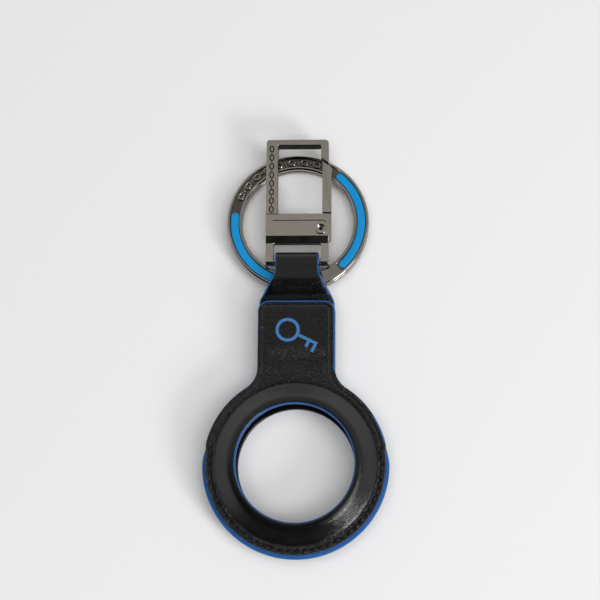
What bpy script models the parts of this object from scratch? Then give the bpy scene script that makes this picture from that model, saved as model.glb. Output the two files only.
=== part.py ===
"""Leather key holder for a coin-size tracker tag, with a snap hook and a split ring.

It lies on its back on a table: +Z is up, +Y runs from the round tag pocket to the hook's tip,
and +X is to the right. The origin is under the middle of the whole thing, on the table.
All sizes are in metres. Distances along Y are counted from the centre of the tag pocket,
which an empty carries to its place.
"""

import math

import bmesh
import bpy
from mathutils import Vector

# The tag and the leather pocket round it
TAG_DIAMETER = 0.0319
TAG_CLEARANCE = 0.0001
LEATHER = 0.0013
PANEL_GAP = 0.0012
DOME_HEIGHT = 0.0029
HOLE_RADIUS = 0.0132
HOLE_BEVEL = 0.0003
CROWN_INSET = 0.0012
FLANGE_WIDTH = 0.0028
OPEN_PROUD = 0.0005
EDGE_ROUND = 0.00025
HOLE_EDGE_DROP = 0.0003
DOME_SHARES = ((0.0, 1.0), (0.12, 1.0), (0.48, 0.89), (0.76, 0.6), (0.92, 0.24), (1.0, 0.0))

# The neck and the flap that closes the pocket
NECK_WIDTH = 0.0176
NECK_FILLET = 0.0055
FLAP_LENGTH = 0.0375
FLAP_CORNER = 0.0025
BEND_HEIGHT = 0.0045
BEND_GAP = 0.0003

# The blue welt and the stitching round the sewn half
WELT_PROUD = 0.0008
WELT_DEPTH = 0.0026
WELT_RAMP_DEGREES = 5.0
STITCH_INSET = 0.0009
STITCH_LENGTH = 0.0018
STITCH_START_DEGREES = 10.5
GROOVE_WIDTH = 0.0008
GROOVE_DEPTH = 0.0004
GROOVE_SLOPE = 0.0001
THREAD_RADIUS = 0.0002
THREAD_WAVE = 0.00006

# The strap's tail under the flap, and the hidden magnets
STRAP_LEATHER = 0.0011
TAIL_LENGTH = 0.0135
TAIL_INSET = 0.0012
TAIL_STITCH_INSET = 0.0018
TAIL_THREAD_RADIUS = 0.00014
TAIL_GROOVE_DEPTH = 0.00045
TAIL_GROOVE_WIDTH = 0.0005
MAGNET_RADIUS = 0.0033
MAGNET_THICKNESS = 0.0007
MAGNET_INSET = 0.0072

# The strap's loop, from its bend at the neck to its fold over the hook's bar
LOOP_WIDTH = 0.0100
LOOP_STRAIGHT = 0.0045
LOOP_REAR_HEIGHT = 0.0010
FLEX_BEYOND_FLAP = 0.0007
KNUCKLE_SLACK = 0.00005
FOLD_SLACK = 0.00035
FOLD_LEAN_DEGREES = 45.0
FRONT_RISE_SHARES = (0.25, 0.7)
REAR_DROP_SHARES = (0.5, 0.1)
FLARE_SHARES = ((0.0, 0.0), (0.16, 0.05), (0.38, 0.28), (0.68, 0.64), (0.9, 0.87), (1.0, 0.95))

# The hook, measured along Y from the middle of its bar
BAR_BEYOND_FLAP = 0.00925
BAR_RADIUS = 0.0008
BAR_END_RADIUS = 0.0009
HOOK_REACH = 0.02905
HOOK_WIDTH = 0.0145
HOOK_THICKNESS = 0.0033
HOOK_CORNER = 0.0005
TOP_BAR_DEPTH = 0.00135
LEG_WIDTH = 0.00265
STUB_WIDTH = 0.0018
STUB_LENGTH = 0.0045
STUB_SLANT = 0.0014
BLOCK_TOP = 0.01115
BLOCK_FACE_BOTTOM = 0.0058
BLOCK_BOTTOM = 0.0043
LOWER_LEG_WIDTH = 0.0018
LAY_GAP = 0.0003

# The spring gate and its pin
GATE_WIDTH = 0.0021
GATE_PROUD = 0.0006
GATE_THICKNESS = 0.0026
GATE_CLEARANCE = 0.0003
GATE_STEP = 0.0003
TONGUE_THICKNESS = 0.0014
TONGUE_RADIUS = 0.0014
TONGUE_TAIL = 0.0027
SLOT_CLEARANCE = 0.0001
PIN_HEIGHT = 0.0075
PIN_INSET = 0.0018
PIN_RADIUS = 0.00045
PIN_CLEARANCE = 0.00005
PIN_HEAD_RADIUS = 0.0012
PIN_HEAD_HEIGHT = 0.0003
PIN_HEAD_SLOPE = 0.0002
PIN_DISH_RADIUS = 0.0006
PIN_DISH_DEPTH = 0.0002
SPRING_RADIUS = 0.0004
SPRING_WIRE_RADIUS = 0.0001
SPRING_TURNS = 6
SPRING_POCKET_DEPTH = 0.0030
SPRING_POCKET_CLEARANCE = 0.0002
SPRING_INSET = 0.0015

# The split ring: two flat coils with a channel in the upper one
RING_RADIUS = 0.0147
RING_BAND = 0.0033
COIL_THICKNESS = 0.00135
COIL_GAP = 0.0001
COIL_CHAMFER = 0.0003
RING_BELOW_BAR = 0.00465
RING_TILT_DEGREES = 3.4
TABLE_GAP = 0.00005
SPLIT_DEGREES = -62.0
SPLIT_GAP_DEGREES = 2.0
RAMP_DEGREES = 26.0
CHANNEL_WIDTH = 0.0020
CHANNEL_DEPTH = 0.0004
CHANNEL_SLOPE = 0.0001
RIGHT_CHANNEL_DEGREES = (-48.0, 51.0)
TOP_CHANNEL_DEGREES = (55.0, 166.0)
LEFT_CHANNEL_DEGREES = (170.5, 257.0)
CHANNEL_END_DEGREES = 0.5
INLAY_WIDTH = 0.00145
INLAY_THICKNESS = 0.0003
INLAY_INSET_DEGREES = 1.5

# Fits and the fineness of the round pieces
SEAT_GAP = 0.00003
OVERRUN = 0.0005
ARC_STEP_DEGREES = 6.0
SHARP_DEGREES = 35.0
RING_STEPS_PER_TURN = 56
ROUND_SIDES = 24
BAR_SIDES = 16
POCKET_SIDES = 12
THREAD_SIDES = 5
CORNER_STEPS = 4
END_STEPS = 8
FOLD_STEPS = 3
POINTS_PER_STITCH = 3
POINTS_PER_COIL = 9
CAP_SHARES = (0.33, 0.67)

# Sizes that follow from the ones above
TAG_RADIUS = TAG_DIAMETER / 2
INNER_FOOT = TAG_RADIUS + TAG_CLEARANCE
FOOT_RADIUS = INNER_FOOT + LEATHER
DISC_RADIUS = FOOT_RADIUS + FLANGE_WIDTH
OPEN_RADIUS = DISC_RADIUS + OPEN_PROUD
WELT_RADIUS = DISC_RADIUS + WELT_PROUD
CROWN_RADIUS = HOLE_RADIUS + CROWN_INSET
STITCH_RADIUS = DISC_RADIUS - STITCH_INSET
FACE_IN = PANEL_GAP / 2
FACE_OUT = FACE_IN + LEATHER
CROWN = FACE_OUT + DOME_HEIGHT
MID_Z = CROWN
NECK_HALF = NECK_WIDTH / 2
FILLET_Y = math.sqrt((OPEN_RADIUS + NECK_FILLET) ** 2 - (NECK_HALF + NECK_FILLET) ** 2)

KNUCKLE_RADIUS = STRAP_LEATHER + KNUCKLE_SLACK
FLEX_Y = FLAP_LENGTH + FLEX_BEYOND_FLAP
FLEX_Z = MID_Z - FACE_OUT + KNUCKLE_RADIUS + SEAT_GAP
NECK_TOP = FLEX_Y - KNUCKLE_RADIUS - 2 * SEAT_GAP
TAIL_BOTTOM = NECK_TOP - TAIL_LENGTH
TAIL_HALF = NECK_HALF - TAIL_INSET
TAIL_UPPER = MID_Z - FACE_IN + SEAT_GAP + STRAP_LEATHER

BAR_Y = FLAP_LENGTH + BAR_BEYOND_FLAP
HOOK_TOP = BAR_Y + HOOK_REACH
HOOK_HALF = HOOK_WIDTH / 2
RING_Y = BAR_Y - RING_BELOW_BAR + RING_RADIUS
RING_HEIGHT = 2 * COIL_THICKNESS + COIL_GAP
RING_OUTER = RING_RADIUS + RING_BAND / 2
RING_TILT = math.radians(RING_TILT_DEGREES)
RING_Z = TABLE_GAP + RING_OUTER * math.sin(RING_TILT) + RING_HEIGHT / 2 * math.cos(RING_TILT)
RING_TOP = RING_Z + RING_HEIGHT / 2 - math.sin(RING_TILT) * RING_RADIUS / 2
BAR_Z = RING_TOP + LAY_GAP + HOOK_THICKNESS / 2
DISC_Y = -(HOOK_TOP - WELT_RADIUS) / 2

WINDOW_RIGHT = HOOK_HALF - STUB_WIDTH
WINDOW_LEFT = -HOOK_HALF + LEG_WIDTH
WINDOW_TOP = HOOK_TOP - TOP_BAR_DEPTH
STUB_TIP = WINDOW_TOP - STUB_LENGTH + STUB_SLANT
GATE_RIGHT = HOOK_HALF + GATE_PROUD
GATE_LEFT = GATE_RIGHT - GATE_WIDTH
GATE_FOOT = BAR_Y + BLOCK_TOP + GATE_STEP
PIN_X = HOOK_HALF - PIN_INSET
PIN_Y = BAR_Y + PIN_HEIGHT
SLOT_HALF = TONGUE_THICKNESS / 2 + SLOT_CLEARANCE
SLOT_LEFT = PIN_X - TONGUE_RADIUS - GATE_CLEARANCE
SPRING_Y = BAR_Y + BLOCK_TOP - SPRING_INSET


def clear_scene():
    for item in list(bpy.data.objects):
        bpy.data.objects.remove(item, do_unlink=True)


def make_material(name, colour, roughness, metallic):
    material = bpy.data.materials.new(name)
    material.use_nodes = True
    shader = material.node_tree.nodes["Principled BSDF"]
    shader.inputs["Base Color"].default_value = (*colour, 1.0)
    shader.inputs["Roughness"].default_value = roughness
    shader.inputs["Metallic"].default_value = metallic
    return material


def make_object(name, mesh_data, material, parent, pivot=Vector()):
    """Turn a bmesh into a named object whose origin is at the pivot, a point in the parent's frame."""
    bmesh.ops.translate(mesh_data, verts=mesh_data.verts, vec=-Vector(pivot))
    mesh = bpy.data.meshes.new(name)
    mesh_data.to_mesh(mesh)
    mesh_data.free()
    mesh.materials.append(material)
    mesh.shade_smooth()
    mesh.set_sharp_from_angle(angle=math.radians(SHARP_DEGREES))
    item = bpy.data.objects.new(name, mesh)
    bpy.context.collection.objects.link(item)
    item.parent = parent
    item.location = pivot
    return item


def make_cutter(name, mesh_data, parent):
    """A hidden body that a Boolean uses; it isn't a piece of the holder."""
    mesh = bpy.data.meshes.new(name)
    mesh_data.to_mesh(mesh)
    mesh_data.free()
    item = bpy.data.objects.new(name, mesh)
    bpy.context.collection.objects.link(item)
    item.parent = parent
    item.hide_render = True
    item.display_type = "WIRE"
    return item


def combine(item, tool, operation):
    boolean = item.modifiers.new(tool.name, "BOOLEAN")
    boolean.operation = operation
    boolean.solver = "EXACT"
    boolean.object = tool


def loft(sections, closed=False):
    """Join closed sections of the same number of points into one solid."""
    data = bmesh.new()
    rows = [[data.verts.new(point) for point in section] for section in sections]
    following = rows[1:] + (rows[:1] if closed else [])
    for row, after in zip(rows, following):
        for i in range(len(row)):
            j = (i + 1) % len(row)
            data.faces.new((row[i], row[j], after[j], after[i]))
    if not closed:
        data.faces.new(list(reversed(rows[0])))
        data.faces.new(rows[-1])
    bmesh.ops.recalc_face_normals(data, faces=data.faces)
    return data


def prism(outline, low, high):
    """Extrude an outline in the XY plane from one height to another."""
    return loft([[Vector((x, y, z)) for x, y in outline] for z in (low, high)])


def side_prism(profile, left, right):
    """Extrude a side profile in the YZ plane from left to right."""
    return loft([[Vector((x, y, z)) for y, z in profile] for x in (left, right)])


def arc(centre_x, centre_y, radius, start, end, steps):
    """Points on an arc, with its angles in degrees."""
    angles = [math.radians(start + (end - start) * i / steps) for i in range(steps + 1)]
    return [(centre_x + radius * math.cos(a), centre_y + radius * math.sin(a)) for a in angles]


def disc(x, y, radius, low, high):
    return prism(arc(x, y, radius, 0, 360, ROUND_SIDES)[:-1], low, high)


def tube(points, radius, level_normal):
    """A round thread or wire along a path that never runs along the given normal."""
    sections = []
    for i, point in enumerate(points):
        before = points[max(i - 1, 0)]
        after = points[min(i + 1, len(points) - 1)]
        along = (after - before).normalized()
        across = along.cross(level_normal).normalized()
        upward = across.cross(along)
        turns = [2 * math.pi * k / THREAD_SIDES for k in range(THREAD_SIDES)]
        sections.append([point + radius * (math.cos(t) * across + math.sin(t) * upward) for t in turns])
    return loft(sections)


def smooth_path(points):
    """Points of a closed smooth curve that runs through all the given ones."""
    count = len(points)
    path = []
    for i in range(count):
        p0, p1, p2, p3 = (Vector(points[(i + k) % count]) for k in (-1, 0, 1, 2))
        for step in range(FOLD_STEPS):
            t = step / FOLD_STEPS
            curve = 2 * p1 + (p2 - p0) * t + (2 * p0 - 5 * p1 + 4 * p2 - p3) * t ** 2
            path.append((curve + (3 * p1 - p0 - 3 * p2 + p3) * t ** 3) / 2)
    return path


def from_shares(shares, position):
    """Read a table of (position, value) shares between its rows."""
    position = min(max(position, shares[0][0]), shares[-1][0])
    for (low, low_value), (high, high_value) in zip(shares, shares[1:]):
        if position <= high:
            return low_value + (high_value - low_value) * (position - low) / (high - low)
    return shares[-1][1]


def panel_section(reach, grooved):
    """A panel's section: distance from the pocket's centre, and height over the holder's mid-plane."""
    run = FOOT_RADIUS - CROWN_RADIUS
    inner_run = INNER_FOOT - CROWN_RADIUS
    rim = CROWN - HOLE_EDGE_DROP
    section = [(HOLE_RADIUS, rim - LEATHER), (HOLE_RADIUS, rim - HOLE_BEVEL)]
    section += [(HOLE_RADIUS + HOLE_BEVEL, rim)]
    section += [(CROWN_RADIUS + run * r, FACE_OUT + DOME_HEIGHT * h) for r, h in DOME_SHARES]
    if grooved is not None:
        lip, bed = GROOVE_WIDTH / 2, GROOVE_WIDTH / 2 - GROOVE_SLOPE
        depth = GROOVE_DEPTH if grooved else 0.0
        section += [(STITCH_RADIUS - lip, FACE_OUT), (STITCH_RADIUS - bed, FACE_OUT - depth)]
        section += [(STITCH_RADIUS + bed, FACE_OUT - depth), (STITCH_RADIUS + lip, FACE_OUT)]
    section += [(reach - EDGE_ROUND, FACE_OUT), (reach, FACE_OUT - EDGE_ROUND)]
    section += [(reach, FACE_IN + EDGE_ROUND), (reach - EDGE_ROUND, FACE_IN)]
    inner = [(CROWN_RADIUS + inner_run * r, FACE_IN + DOME_HEIGHT * h) for r, h in DOME_SHARES]
    return section + inner[::-1]


def radial(section, degrees, side):
    """Stand a section on a line from the pocket's centre; side is 1 for the front and -1 for the back."""
    a = math.radians(degrees)
    return [Vector((r * math.cos(a), r * math.sin(a), MID_Z + side * h)) for r, h in section]


def level_cut(section, height, hand):
    """Stand a front section on a line across the disc; hand is 1 on the right and -1 on the left."""
    return [Vector((hand * math.sqrt(r * r - height * height), height, MID_Z + h)) for r, h in section]


def open_reach(degrees):
    """The disc's edge in one direction: past the last stitch the leather grows a little wider."""
    turned = degrees % 360
    beyond = min(turned, 180 - turned) - STITCH_START_DEGREES
    return DISC_RADIUS + OPEN_PROUD * min(max(beyond / WELT_RAMP_DEGREES, 0.0), 1.0)


def neck_outline(top, corner):
    """The right half of the neck's outline, from the disc's fillet up to the middle of its top edge."""
    fillet_x = NECK_HALF + NECK_FILLET
    foot_degrees = math.degrees(math.atan2(FILLET_Y, fillet_x))
    points = arc(fillet_x, FILLET_Y, NECK_FILLET, 180 + foot_degrees, 180, CORNER_STEPS)
    points += [(NECK_HALF, (FILLET_Y + top) / 2)]
    points += arc(NECK_HALF - corner, top - corner, corner, 0, 90, CORNER_STEPS)
    points += [(NECK_HALF / 2, top), (0.0, top)]
    return points, foot_degrees


def outline_stations(top, corner):
    """Direction in degrees and reach of each point of the neck's outline, from its right to its left."""
    points, foot_degrees = neck_outline(top, corner)
    right = [(math.degrees(math.atan2(y, x)), math.hypot(x, y)) for x, y in points]
    left = [(180 - degrees, reach) for degrees, reach in right[:-1]]
    return right + left[::-1], foot_degrees


def bend_reach():
    """The disc's edge at the line where the flap bends."""
    return open_reach(math.degrees(math.asin(BEND_HEIGHT / DISC_RADIUS)))


def arc_degrees(start, end):
    """Even steps from one direction to another, both ends left out."""
    count = max(2, round((end - start) / ARC_STEP_DEGREES))
    return [start + (end - start) * i / count for i in range(1, count)]


def back_panel(material, parent):
    """The back leather: a domed ring with a neck, in one piece."""
    stations, foot = outline_stations(NECK_TOP, EDGE_ROUND)
    sections = [radial(panel_section(reach, False), degrees, -1) for degrees, reach in stations]
    for degrees in arc_degrees(180 - foot, 360 + foot):
        sewn = 180 - STITCH_START_DEGREES <= degrees <= 360 + STITCH_START_DEGREES
        sections.append(radial(panel_section(open_reach(degrees), sewn), degrees, -1))
    panel = make_object("back_panel", loft(sections, closed=True), material, parent)
    groove = tail_groove(MID_Z - FACE_OUT - OVERRUN, MID_Z - FACE_OUT + TAIL_GROOVE_DEPTH)
    combine(panel, make_cutter("back_groove_cutter", groove, parent), "DIFFERENCE")
    return panel


def front_panel(material, parent):
    """The sewn lower part of the front leather, up to the line where the flap bends."""
    top = BEND_HEIGHT - BEND_GAP / 2
    start = math.degrees(math.asin(top / DISC_RADIUS)) / 2
    bend_section = panel_section(bend_reach(), True)
    sections = [level_cut(bend_section, top, 1)]
    sections += [radial(panel_section(DISC_RADIUS, True), -d, 1) for d in arc_degrees(-start, 180 + start)]
    sections += [level_cut(bend_section, top, -1)]
    return make_object("front_panel", loft(sections), material, parent)


def front_flap(material, parent, pivot):
    """The upper part of the front leather: half the domed ring and the neck, which peel open together."""
    bottom = BEND_HEIGHT + BEND_GAP / 2
    start = math.degrees(math.asin(bottom / HOLE_RADIUS)) + ARC_STEP_DEGREES / 2
    stations, foot = outline_stations(FLAP_LENGTH, FLAP_CORNER)
    lower = [start] + arc_degrees(start, foot)
    bend_section = panel_section(bend_reach(), None)
    sections = [level_cut(bend_section, bottom, 1)]
    sections += [radial(panel_section(open_reach(d), None), d, 1) for d in lower]
    sections += [radial(panel_section(reach, None), degrees, 1) for degrees, reach in stations]
    sections += [radial(panel_section(open_reach(d), None), 180 - d, 1) for d in reversed(lower)]
    sections += [level_cut(bend_section, bottom, -1)]
    flap = make_object("front_flap", loft(sections), material, parent, pivot)
    seat = magnet_seat(MID_Z + FACE_IN - OVERRUN, MID_Z + FACE_IN + MAGNET_THICKNESS + SEAT_GAP)
    combine(flap, make_cutter("flap_seat_cutter", seat, parent), "DIFFERENCE")
    return flap


def rim_welt(material, parent):
    """The blue welt between the two flanges, which shows as a rim round the sewn half."""
    low, high = MID_Z - FACE_IN + SEAT_GAP, MID_Z + FACE_IN - SEAT_GAP
    inner = WELT_RADIUS - WELT_DEPTH

    def section(reach):
        side = reach - EDGE_ROUND
        return [(inner, low), (side, low), (reach, (low + high) / 2), (side, high), (inner, high)]

    end_y = BEND_HEIGHT - BEND_GAP / 2
    start = math.degrees(math.asin(end_y / DISC_RADIUS)) / 2
    sections = [[Vector((math.sqrt(r * r - end_y ** 2), end_y, z)) for r, z in section(DISC_RADIUS)]]
    for degrees in arc_degrees(-start, 180 + start):
        grown = min(1.0, min(degrees + start, 180 + start - degrees) / WELT_RAMP_DEGREES)
        reach = DISC_RADIUS + WELT_PROUD * grown
        a = math.radians(-degrees)
        sections.append([Vector((r * math.cos(a), r * math.sin(a), z)) for r, z in section(reach)])
    sections += [[Vector((-p.x, p.y, p.z)) for p in sections[0]]]
    return make_object("rim_welt", loft(sections), material, parent)


def ring_stitching(name, side, material, parent):
    """One thread that dips at every hole of the sewn half; it lies in the panel's groove."""
    span = math.radians(180 + 2 * STITCH_START_DEGREES)
    count = round(STITCH_RADIUS * span / STITCH_LENGTH)
    floor = FACE_OUT - GROOVE_DEPTH + THREAD_RADIUS + SEAT_GAP
    points = []
    for i in range(POINTS_PER_STITCH * count + 1):
        a = math.radians(STITCH_START_DEGREES) - span * i / (POINTS_PER_STITCH * count)
        z = MID_Z + side * (floor + (2 * THREAD_WAVE if i % POINTS_PER_STITCH else 0.0))
        points.append(Vector((STITCH_RADIUS * math.cos(a), STITCH_RADIUS * math.sin(a), z)))
    return make_object(name, tube(points, THREAD_RADIUS, Vector((0, 0, 1))), material, parent)


def tail_groove(low, high):
    """The groove for the row of stitches that holds the tail, across the neck."""
    middle = TAIL_BOTTOM + TAIL_STITCH_INSET
    reach = TAIL_HALF - TAIL_STITCH_INSET
    near, far = middle - TAIL_GROOVE_WIDTH / 2, middle + TAIL_GROOVE_WIDTH / 2
    return prism([(-reach, near), (reach, near), (reach, far), (-reach, far)], low, high)


def magnet_seat(low, high):
    return disc(0.0, FLAP_LENGTH - MAGNET_INSET, MAGNET_RADIUS + SEAT_GAP, low, high)


def strap_tail(material, parent):
    """The end of the strap's leather, which lies on the back panel under the flap."""
    outline = [(-TAIL_HALF, TAIL_BOTTOM), (TAIL_HALF, TAIL_BOTTOM)]
    outline += [(TAIL_HALF, NECK_TOP), (-TAIL_HALF, NECK_TOP)]
    sheet = prism(outline, TAIL_UPPER - STRAP_LEATHER, TAIL_UPPER)
    tail = make_object("strap_tail", sheet, material, parent)
    seat = magnet_seat(TAIL_UPPER - MAGNET_THICKNESS - SEAT_GAP, TAIL_UPPER + OVERRUN)
    combine(tail, make_cutter("tail_seat_cutter", seat, parent), "DIFFERENCE")
    groove = tail_groove(TAIL_UPPER - TAIL_GROOVE_DEPTH, TAIL_UPPER + OVERRUN)
    combine(tail, make_cutter("tail_groove_cutter", groove, parent), "DIFFERENCE")
    return tail


def tail_stitching(name, level, side, material, parent):
    """A short row of stitches across the neck, sunk in its groove under the given face."""
    reach = TAIL_HALF - TAIL_STITCH_INSET - TAIL_THREAD_RADIUS
    count = round(2 * reach / STITCH_LENGTH)
    floor = TAIL_GROOVE_DEPTH - TAIL_THREAD_RADIUS - SEAT_GAP
    points = []
    for i in range(POINTS_PER_STITCH * count + 1):
        depth = floor - (THREAD_WAVE if i % POINTS_PER_STITCH else 0.0)
        x = -reach + 2 * reach * i / (POINTS_PER_STITCH * count)
        points.append(Vector((x, TAIL_BOTTOM + TAIL_STITCH_INSET, level - side * depth)))
    return make_object(name, tube(points, TAIL_THREAD_RADIUS, Vector((0, 0, 1))), material, parent)


def magnets(material, parent, flap_pivot):
    """Two thin round magnets that hold the flap shut, one under the flap and one in the tail."""
    radius = MAGNET_RADIUS - SEAT_GAP
    y = FLAP_LENGTH - MAGNET_INSET
    low = MID_Z + FACE_IN
    upper = disc(0.0, y, radius, low, low + MAGNET_THICKNESS)
    make_object("flap_magnet", upper, material, parent, flap_pivot)
    lower = disc(0.0, y, radius, TAIL_UPPER - MAGNET_THICKNESS, TAIL_UPPER)
    make_object("tail_magnet", lower, material, parent)


def strap_path():
    """The middle of the strap's leather round the loop, seen from the side, as points (y, z)."""
    half = STRAP_LEATHER / 2
    bend = KNUCKLE_RADIUS - half
    fold = BAR_RADIUS + FOLD_SLACK + half
    top, rear = BAR_Z + fold, LOOP_REAR_HEIGHT
    ring_near = RING_Y - RING_OUTER
    ring_middle = RING_Y - RING_RADIUS
    between = (FLEX_Y + ring_near) / 2
    low_rise, high_rise = (FLEX_Z + bend + (top - FLEX_Z - bend) * share for share in FRONT_RISE_SHARES)
    high_drop, low_drop = (rear + (FLEX_Z - bend - rear) * share for share in REAR_DROP_SHARES)
    lean = fold * math.sin(math.radians(FOLD_LEAN_DEGREES))
    points = [(FLEX_Y - bend, FLEX_Z), (FLEX_Y, FLEX_Z + bend), (between, low_rise)]
    points += [(ring_near, high_rise), (ring_middle, top), (BAR_Y, top), (BAR_Y + lean, BAR_Z + lean)]
    points += [(BAR_Y + fold, BAR_Z), (BAR_Y + lean, (BAR_Z + rear) / 2), (BAR_Y - BAR_RADIUS, rear)]
    points += [(ring_middle, rear), (ring_near, low_drop), (between, high_drop), (FLEX_Y, FLEX_Z - bend)]
    return points


def strap_half_width(y):
    straight = BAR_Y + BAR_RADIUS + FOLD_SLACK + STRAP_LEATHER - LOOP_STRAIGHT
    position = (straight - y) / (straight - FLAP_LENGTH)
    return (LOOP_WIDTH + (NECK_WIDTH - LOOP_WIDTH) * from_shares(FLARE_SHARES, position)) / 2


def strap_loop(material, parent, pivot):
    """The waisted strap, folded over the hook's bar and round the key ring."""
    path = smooth_path(strap_path())
    sections = []
    for i, point in enumerate(path):
        along = (path[(i + 1) % len(path)] - path[i - 1]).normalized()
        outward = Vector((-along.y, along.x)) * STRAP_LEATHER / 2
        outer, inner = point + outward, point - outward
        wide = strap_half_width(point.x)
        corners = ((-wide, outer), (wide, outer), (wide, inner), (-wide, inner))
        sections.append([Vector((x, p.x, p.y)) for x, p in corners])
    return make_object("strap_loop", loft(sections, closed=True), material, parent, pivot)


def hook_profile():
    """The hook from the side: a slab, a bevel down to thinner legs, and a round end about the bar."""
    half, thin = HOOK_THICKNESS / 2, BAR_END_RADIUS
    face_end, bevel_end = BAR_Y + BLOCK_FACE_BOTTOM, BAR_Y + BLOCK_BOTTOM
    profile = [(HOOK_TOP + OVERRUN, BAR_Z - half), (HOOK_TOP + OVERRUN, BAR_Z + half)]
    profile += [(face_end, BAR_Z + half), (bevel_end, BAR_Z + thin)]
    profile += arc(BAR_Y, BAR_Z, thin, 90, 270, END_STEPS)
    return profile + [(bevel_end, BAR_Z - thin), (face_end, BAR_Z - half)]


def hook_outline():
    """The hook's outline from the front, with its two rounded top corners."""
    inset = HOOK_HALF - HOOK_CORNER
    bottom = BAR_Y - BAR_END_RADIUS - OVERRUN
    outline = [(-HOOK_HALF, bottom), (HOOK_HALF, bottom)]
    outline += arc(inset, HOOK_TOP - HOOK_CORNER, HOOK_CORNER, 0, 90, CORNER_STEPS)
    return outline + arc(-inset, HOOK_TOP - HOOK_CORNER, HOOK_CORNER, 90, 180, CORNER_STEPS)


def slant_at(x):
    """Height of the slanted end of the right-hand stub."""
    return STUB_TIP - STUB_SLANT * (x - WINDOW_RIGHT) / (HOOK_HALF - WINDOW_RIGHT)


def hook_cutters(parent):
    """The window, the space for the strap, the gate's slot, its pin hole and its spring's pocket."""
    low, high = BAR_Z - HOOK_THICKNESS, BAR_Z + HOOK_THICKNESS
    sill = BAR_Y + BLOCK_TOP
    beyond = HOOK_HALF + OVERRUN
    window = [(WINDOW_LEFT, sill), (beyond, sill), (beyond, slant_at(beyond)), (WINDOW_RIGHT, STUB_TIP)]
    window += [(WINDOW_RIGHT, WINDOW_TOP), (WINDOW_LEFT, WINDOW_TOP)]
    inner = HOOK_HALF - LOWER_LEG_WIDTH
    bottom, top = BAR_Y - BAR_END_RADIUS - OVERRUN, BAR_Y + BLOCK_BOTTOM
    loop = [(-inner, bottom), (inner, bottom), (inner, top), (-inner, top)]
    floor = PIN_Y - TONGUE_TAIL - GATE_CLEARANCE
    slot = [(SLOT_LEFT, floor), (beyond, floor), (beyond, sill + OVERRUN), (SLOT_LEFT, sill + OVERRUN)]
    pocket = arc(SPRING_Y, BAR_Z, SPRING_RADIUS + SPRING_POCKET_CLEARANCE, 0, 360, POCKET_SIDES)[:-1]
    spring_end = SLOT_LEFT - SPRING_POCKET_DEPTH
    return [
        make_cutter("window_cutter", prism(window, low, high), parent),
        make_cutter("strap_window_cutter", prism(loop, low, high), parent),
        make_cutter("slot_cutter", prism(slot, BAR_Z - SLOT_HALF, BAR_Z + SLOT_HALF), parent),
        make_cutter("pin_cutter", disc(PIN_X, PIN_Y, PIN_RADIUS + PIN_CLEARANCE, low, high), parent),
        make_cutter("pocket_cutter", side_prism(pocket, spring_end, SLOT_LEFT + OVERRUN), parent),
    ]


def hook_frame(material, parent, pivot):
    """The cast body of the snap hook, with the round bar that the strap folds over."""
    slab = side_prism(hook_profile(), -HOOK_HALF - OVERRUN, HOOK_HALF + OVERRUN)
    frame = make_object("hook_frame", slab, material, parent, pivot)
    outline = prism(hook_outline(), BAR_Z - HOOK_THICKNESS, BAR_Z + HOOK_THICKNESS)
    combine(frame, make_cutter("outline_cutter", outline, parent), "INTERSECT")
    for tool in hook_cutters(parent):
        combine(frame, tool, "DIFFERENCE")
    reach = HOOK_HALF - LOWER_LEG_WIDTH / 2
    bar = side_prism(arc(BAR_Y, BAR_Z, BAR_RADIUS, 0, 360, BAR_SIDES)[:-1], -reach, reach)
    combine(frame, make_cutter("bar_joiner", bar, parent), "UNION")
    return frame


def hook_gate(material, parent, pivot):
    """The spring gate: a thick arm that closes the window and a thin tongue that turns on the pin."""
    nose = slant_at(GATE_LEFT) - GATE_CLEARANCE
    shoulder = slant_at(HOOK_HALF) - GATE_CLEARANCE
    arm = [(GATE_LEFT, GATE_FOOT), (GATE_RIGHT, GATE_FOOT), (GATE_RIGHT, shoulder - GATE_PROUD)]
    arm += [(HOOK_HALF, shoulder), (GATE_LEFT, nose)]
    half = GATE_THICKNESS / 2
    gate = make_object("hook_gate", prism(arm, BAR_Z - half, BAR_Z + half), material, parent, pivot)
    tongue = arc(PIN_X, PIN_Y, TONGUE_RADIUS, 150, 270, END_STEPS)
    left, right, end = GATE_LEFT + EDGE_ROUND, GATE_RIGHT - EDGE_ROUND, PIN_Y - TONGUE_TAIL
    tongue += [(right, end), (GATE_RIGHT, end + EDGE_ROUND)]
    tongue += [(right, GATE_FOOT + OVERRUN), (left, GATE_FOOT + OVERRUN), (left, PIN_Y + TONGUE_RADIUS)]
    half = TONGUE_THICKNESS / 2
    combine(gate, make_cutter("tongue_joiner", prism(tongue, BAR_Z - half, BAR_Z + half), parent), "UNION")
    hole = disc(PIN_X, PIN_Y, PIN_RADIUS + PIN_CLEARANCE, BAR_Z - HOOK_THICKNESS, BAR_Z + HOOK_THICKNESS)
    combine(gate, make_cutter("gate_hole_cutter", hole, parent), "DIFFERENCE")
    return gate


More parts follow.
